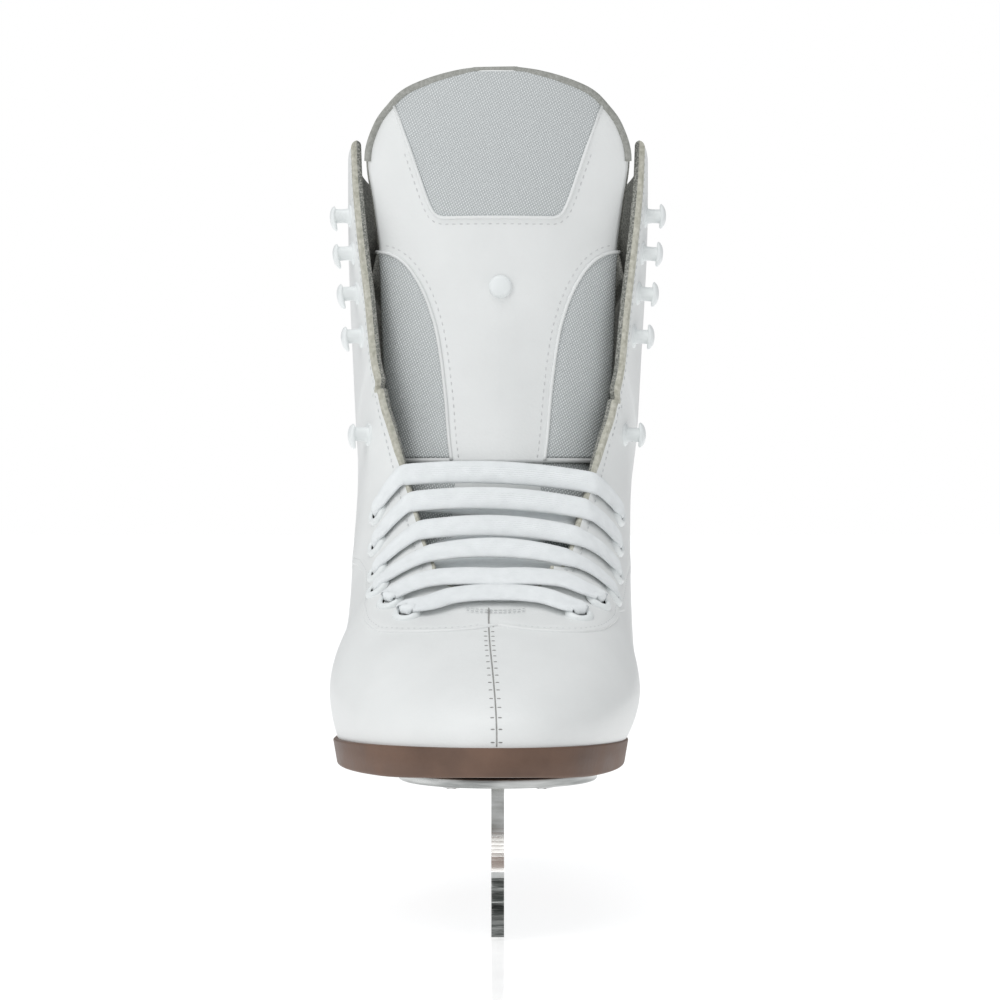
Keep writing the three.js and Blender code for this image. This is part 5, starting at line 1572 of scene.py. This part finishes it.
# Strip over the back seam, narrower toward the heel.
BACKSTAY_LOW = 9.2
shape = bmesh.new()
bmesh.ops.create_grid(shape, x_segments=16, y_segments=60, size=1)
for vert in shape.verts:
    a = vert.co.x
    u = BACKSTAY_LOW + (COLLAR - BACKSTAY_LOW) * (vert.co.y + 1) / 2
    side = -1 if a < 0 else 1
    reach = 0.082 * (0.55 + 0.45 * ease(u, BACKSTAY_LOW, 12))
    lift = 1.5 * (1 - abs(a) ** 6) - 0.05
    vert.co = on_skin(side, u, 1 - abs(a) * reach, lift) * MM
bmesh.ops.recalc_face_normals(shape, faces=shape.faces[:])
if sum(face.normal.y for face in shape.faces) < 0:
    bmesh.ops.reverse_faces(shape, faces=shape.faces[:])
backstay = piece("backstay_strip", shape, "boot", [leather], ["backstay"])
thickness = backstay.modifiers.new("sheet", "SOLIDIFY")
thickness.thickness = 1.2 * MM
thickness.offset = -1

# ---- Inside pieces -----------------------------------------------------------------------------------
# Ankle padding: foam under knit lining, sewn along its outline and across the middle, glued in behind the
# flaps. The footbed is a rounded foam slab lying on the fibre insole board, with a steel shank under that.
PAD_LOW, PAD_HIGH = 10.5, COLLAR - 0.25
PAD_GAP = 4.5
PAD_THICK = 5.2
PAD_COLUMNS, PAD_ROWS = 200, 70
# Side view of the line where the flap bends: a point on it and its direction, as y and z.
FLEX_PLACE = (0, 168)
FLEX_RUN = (75, 79)


def pad_start(u):
    """Share of the cut where the padding starts, just behind the line where the flap bends."""
    row = cut(-1, u)

    def off(y, z):
        return (z - FLEX_PLACE[1]) * FLEX_RUN[0] - (y - FLEX_PLACE[0]) * FLEX_RUN[1]

    front, back = off(row[RIDGE_Y], row[RIDGE_Z]), off(row[SOLE_Y], row[SOLE_Z])
    end = powered(math.cos(row[WRAP]), DROP_POWER)
    level = 1 - front / (front - back) * (1 - end)
    return max(math.acos(powered(level, 1 / DROP_POWER)) / row[WRAP] + 0.035, 0.5)


shape = bmesh.new()
bmesh.ops.create_grid(shape, x_segments=PAD_COLUMNS, y_segments=PAD_ROWS, size=1)
for vert in shape.verts:
    i = round((vert.co.x + 1) / 2 * PAD_COLUMNS) % PAD_COLUMNS
    place = (vert.co.y + 1) / 2
    u = PAD_LOW + (PAD_HIGH - PAD_LOW) * place
    angle = 2 * math.pi * i / PAD_COLUMNS
    k = powered(math.cos(angle), 0.8)
    inward = 0.5 - 0.5 * powered(math.sin(angle), 0.6)
    crown = 0.12 + 0.88 * (1 - abs(2 * place - 1) ** 7) ** 0.5
    sewn = 0.45 * math.exp(-((place - 0.5) / 0.035) ** 2)
    t = 1 - abs(k) * (1 - pad_start(u))
    lift = -PAD_GAP - PAD_THICK * inward * crown * (1 - sewn)
    vert.co = on_skin(-1 if k < 0 else 1, u, t, lift) * MM
bmesh.ops.remove_doubles(shape, verts=shape.verts[:], dist=2e-6)
bmesh.ops.holes_fill(shape, edges=[e for e in shape.edges if e.is_boundary])
bmesh.ops.recalc_face_normals(shape, faces=shape.faces[:])
ankle_pad = piece("ankle_pad", shape, "boot", [lining], ["ankle_padding"])

foam = material("footbed_foam", (0.42, 0.43, 0.42), 0.95)
foam_coord, _ = mottle(foam, (0.36, 0.37, 0.36), (0.48, 0.49, 0.48), 240.0, 0.9, 0.1)
foam_cells = node(foam, "ShaderNodeTexVoronoi", [("Vector", foam_coord, "Object")], Scale=1400.0)
bump(foam, foam_cells, "Distance", 0.5, 0.0004)
footbed_rungs = [u for u in RUNG_CUTS if u > -0.9]
loop_solid("footbed_slab", footbed_rungs, slab_loop(-8, lambda z, y: z + 8.2, lambda z, y: z + 5, 1.3), foam,
           ["footbed"])

board = material("fibre_board", (0.34, 0.25, 0.17), 0.9)
board_coord, _ = mottle(board, (0.29, 0.21, 0.14), (0.40, 0.31, 0.22), 300.0, 0.85, 0.1)
board_fibre = node(board, "ShaderNodeTexNoise", [("Vector", board_coord, "Object")], Scale=900.0, Detail=4.0)
bump(board, board_fibre, "Fac", 0.3, 0.0003)
for kept_name, surface in (("insole_board", board), ("shank", ground_steel)):
    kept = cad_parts[kept_name]
    kept.data.materials.clear()
    kept.data.materials.append(surface)
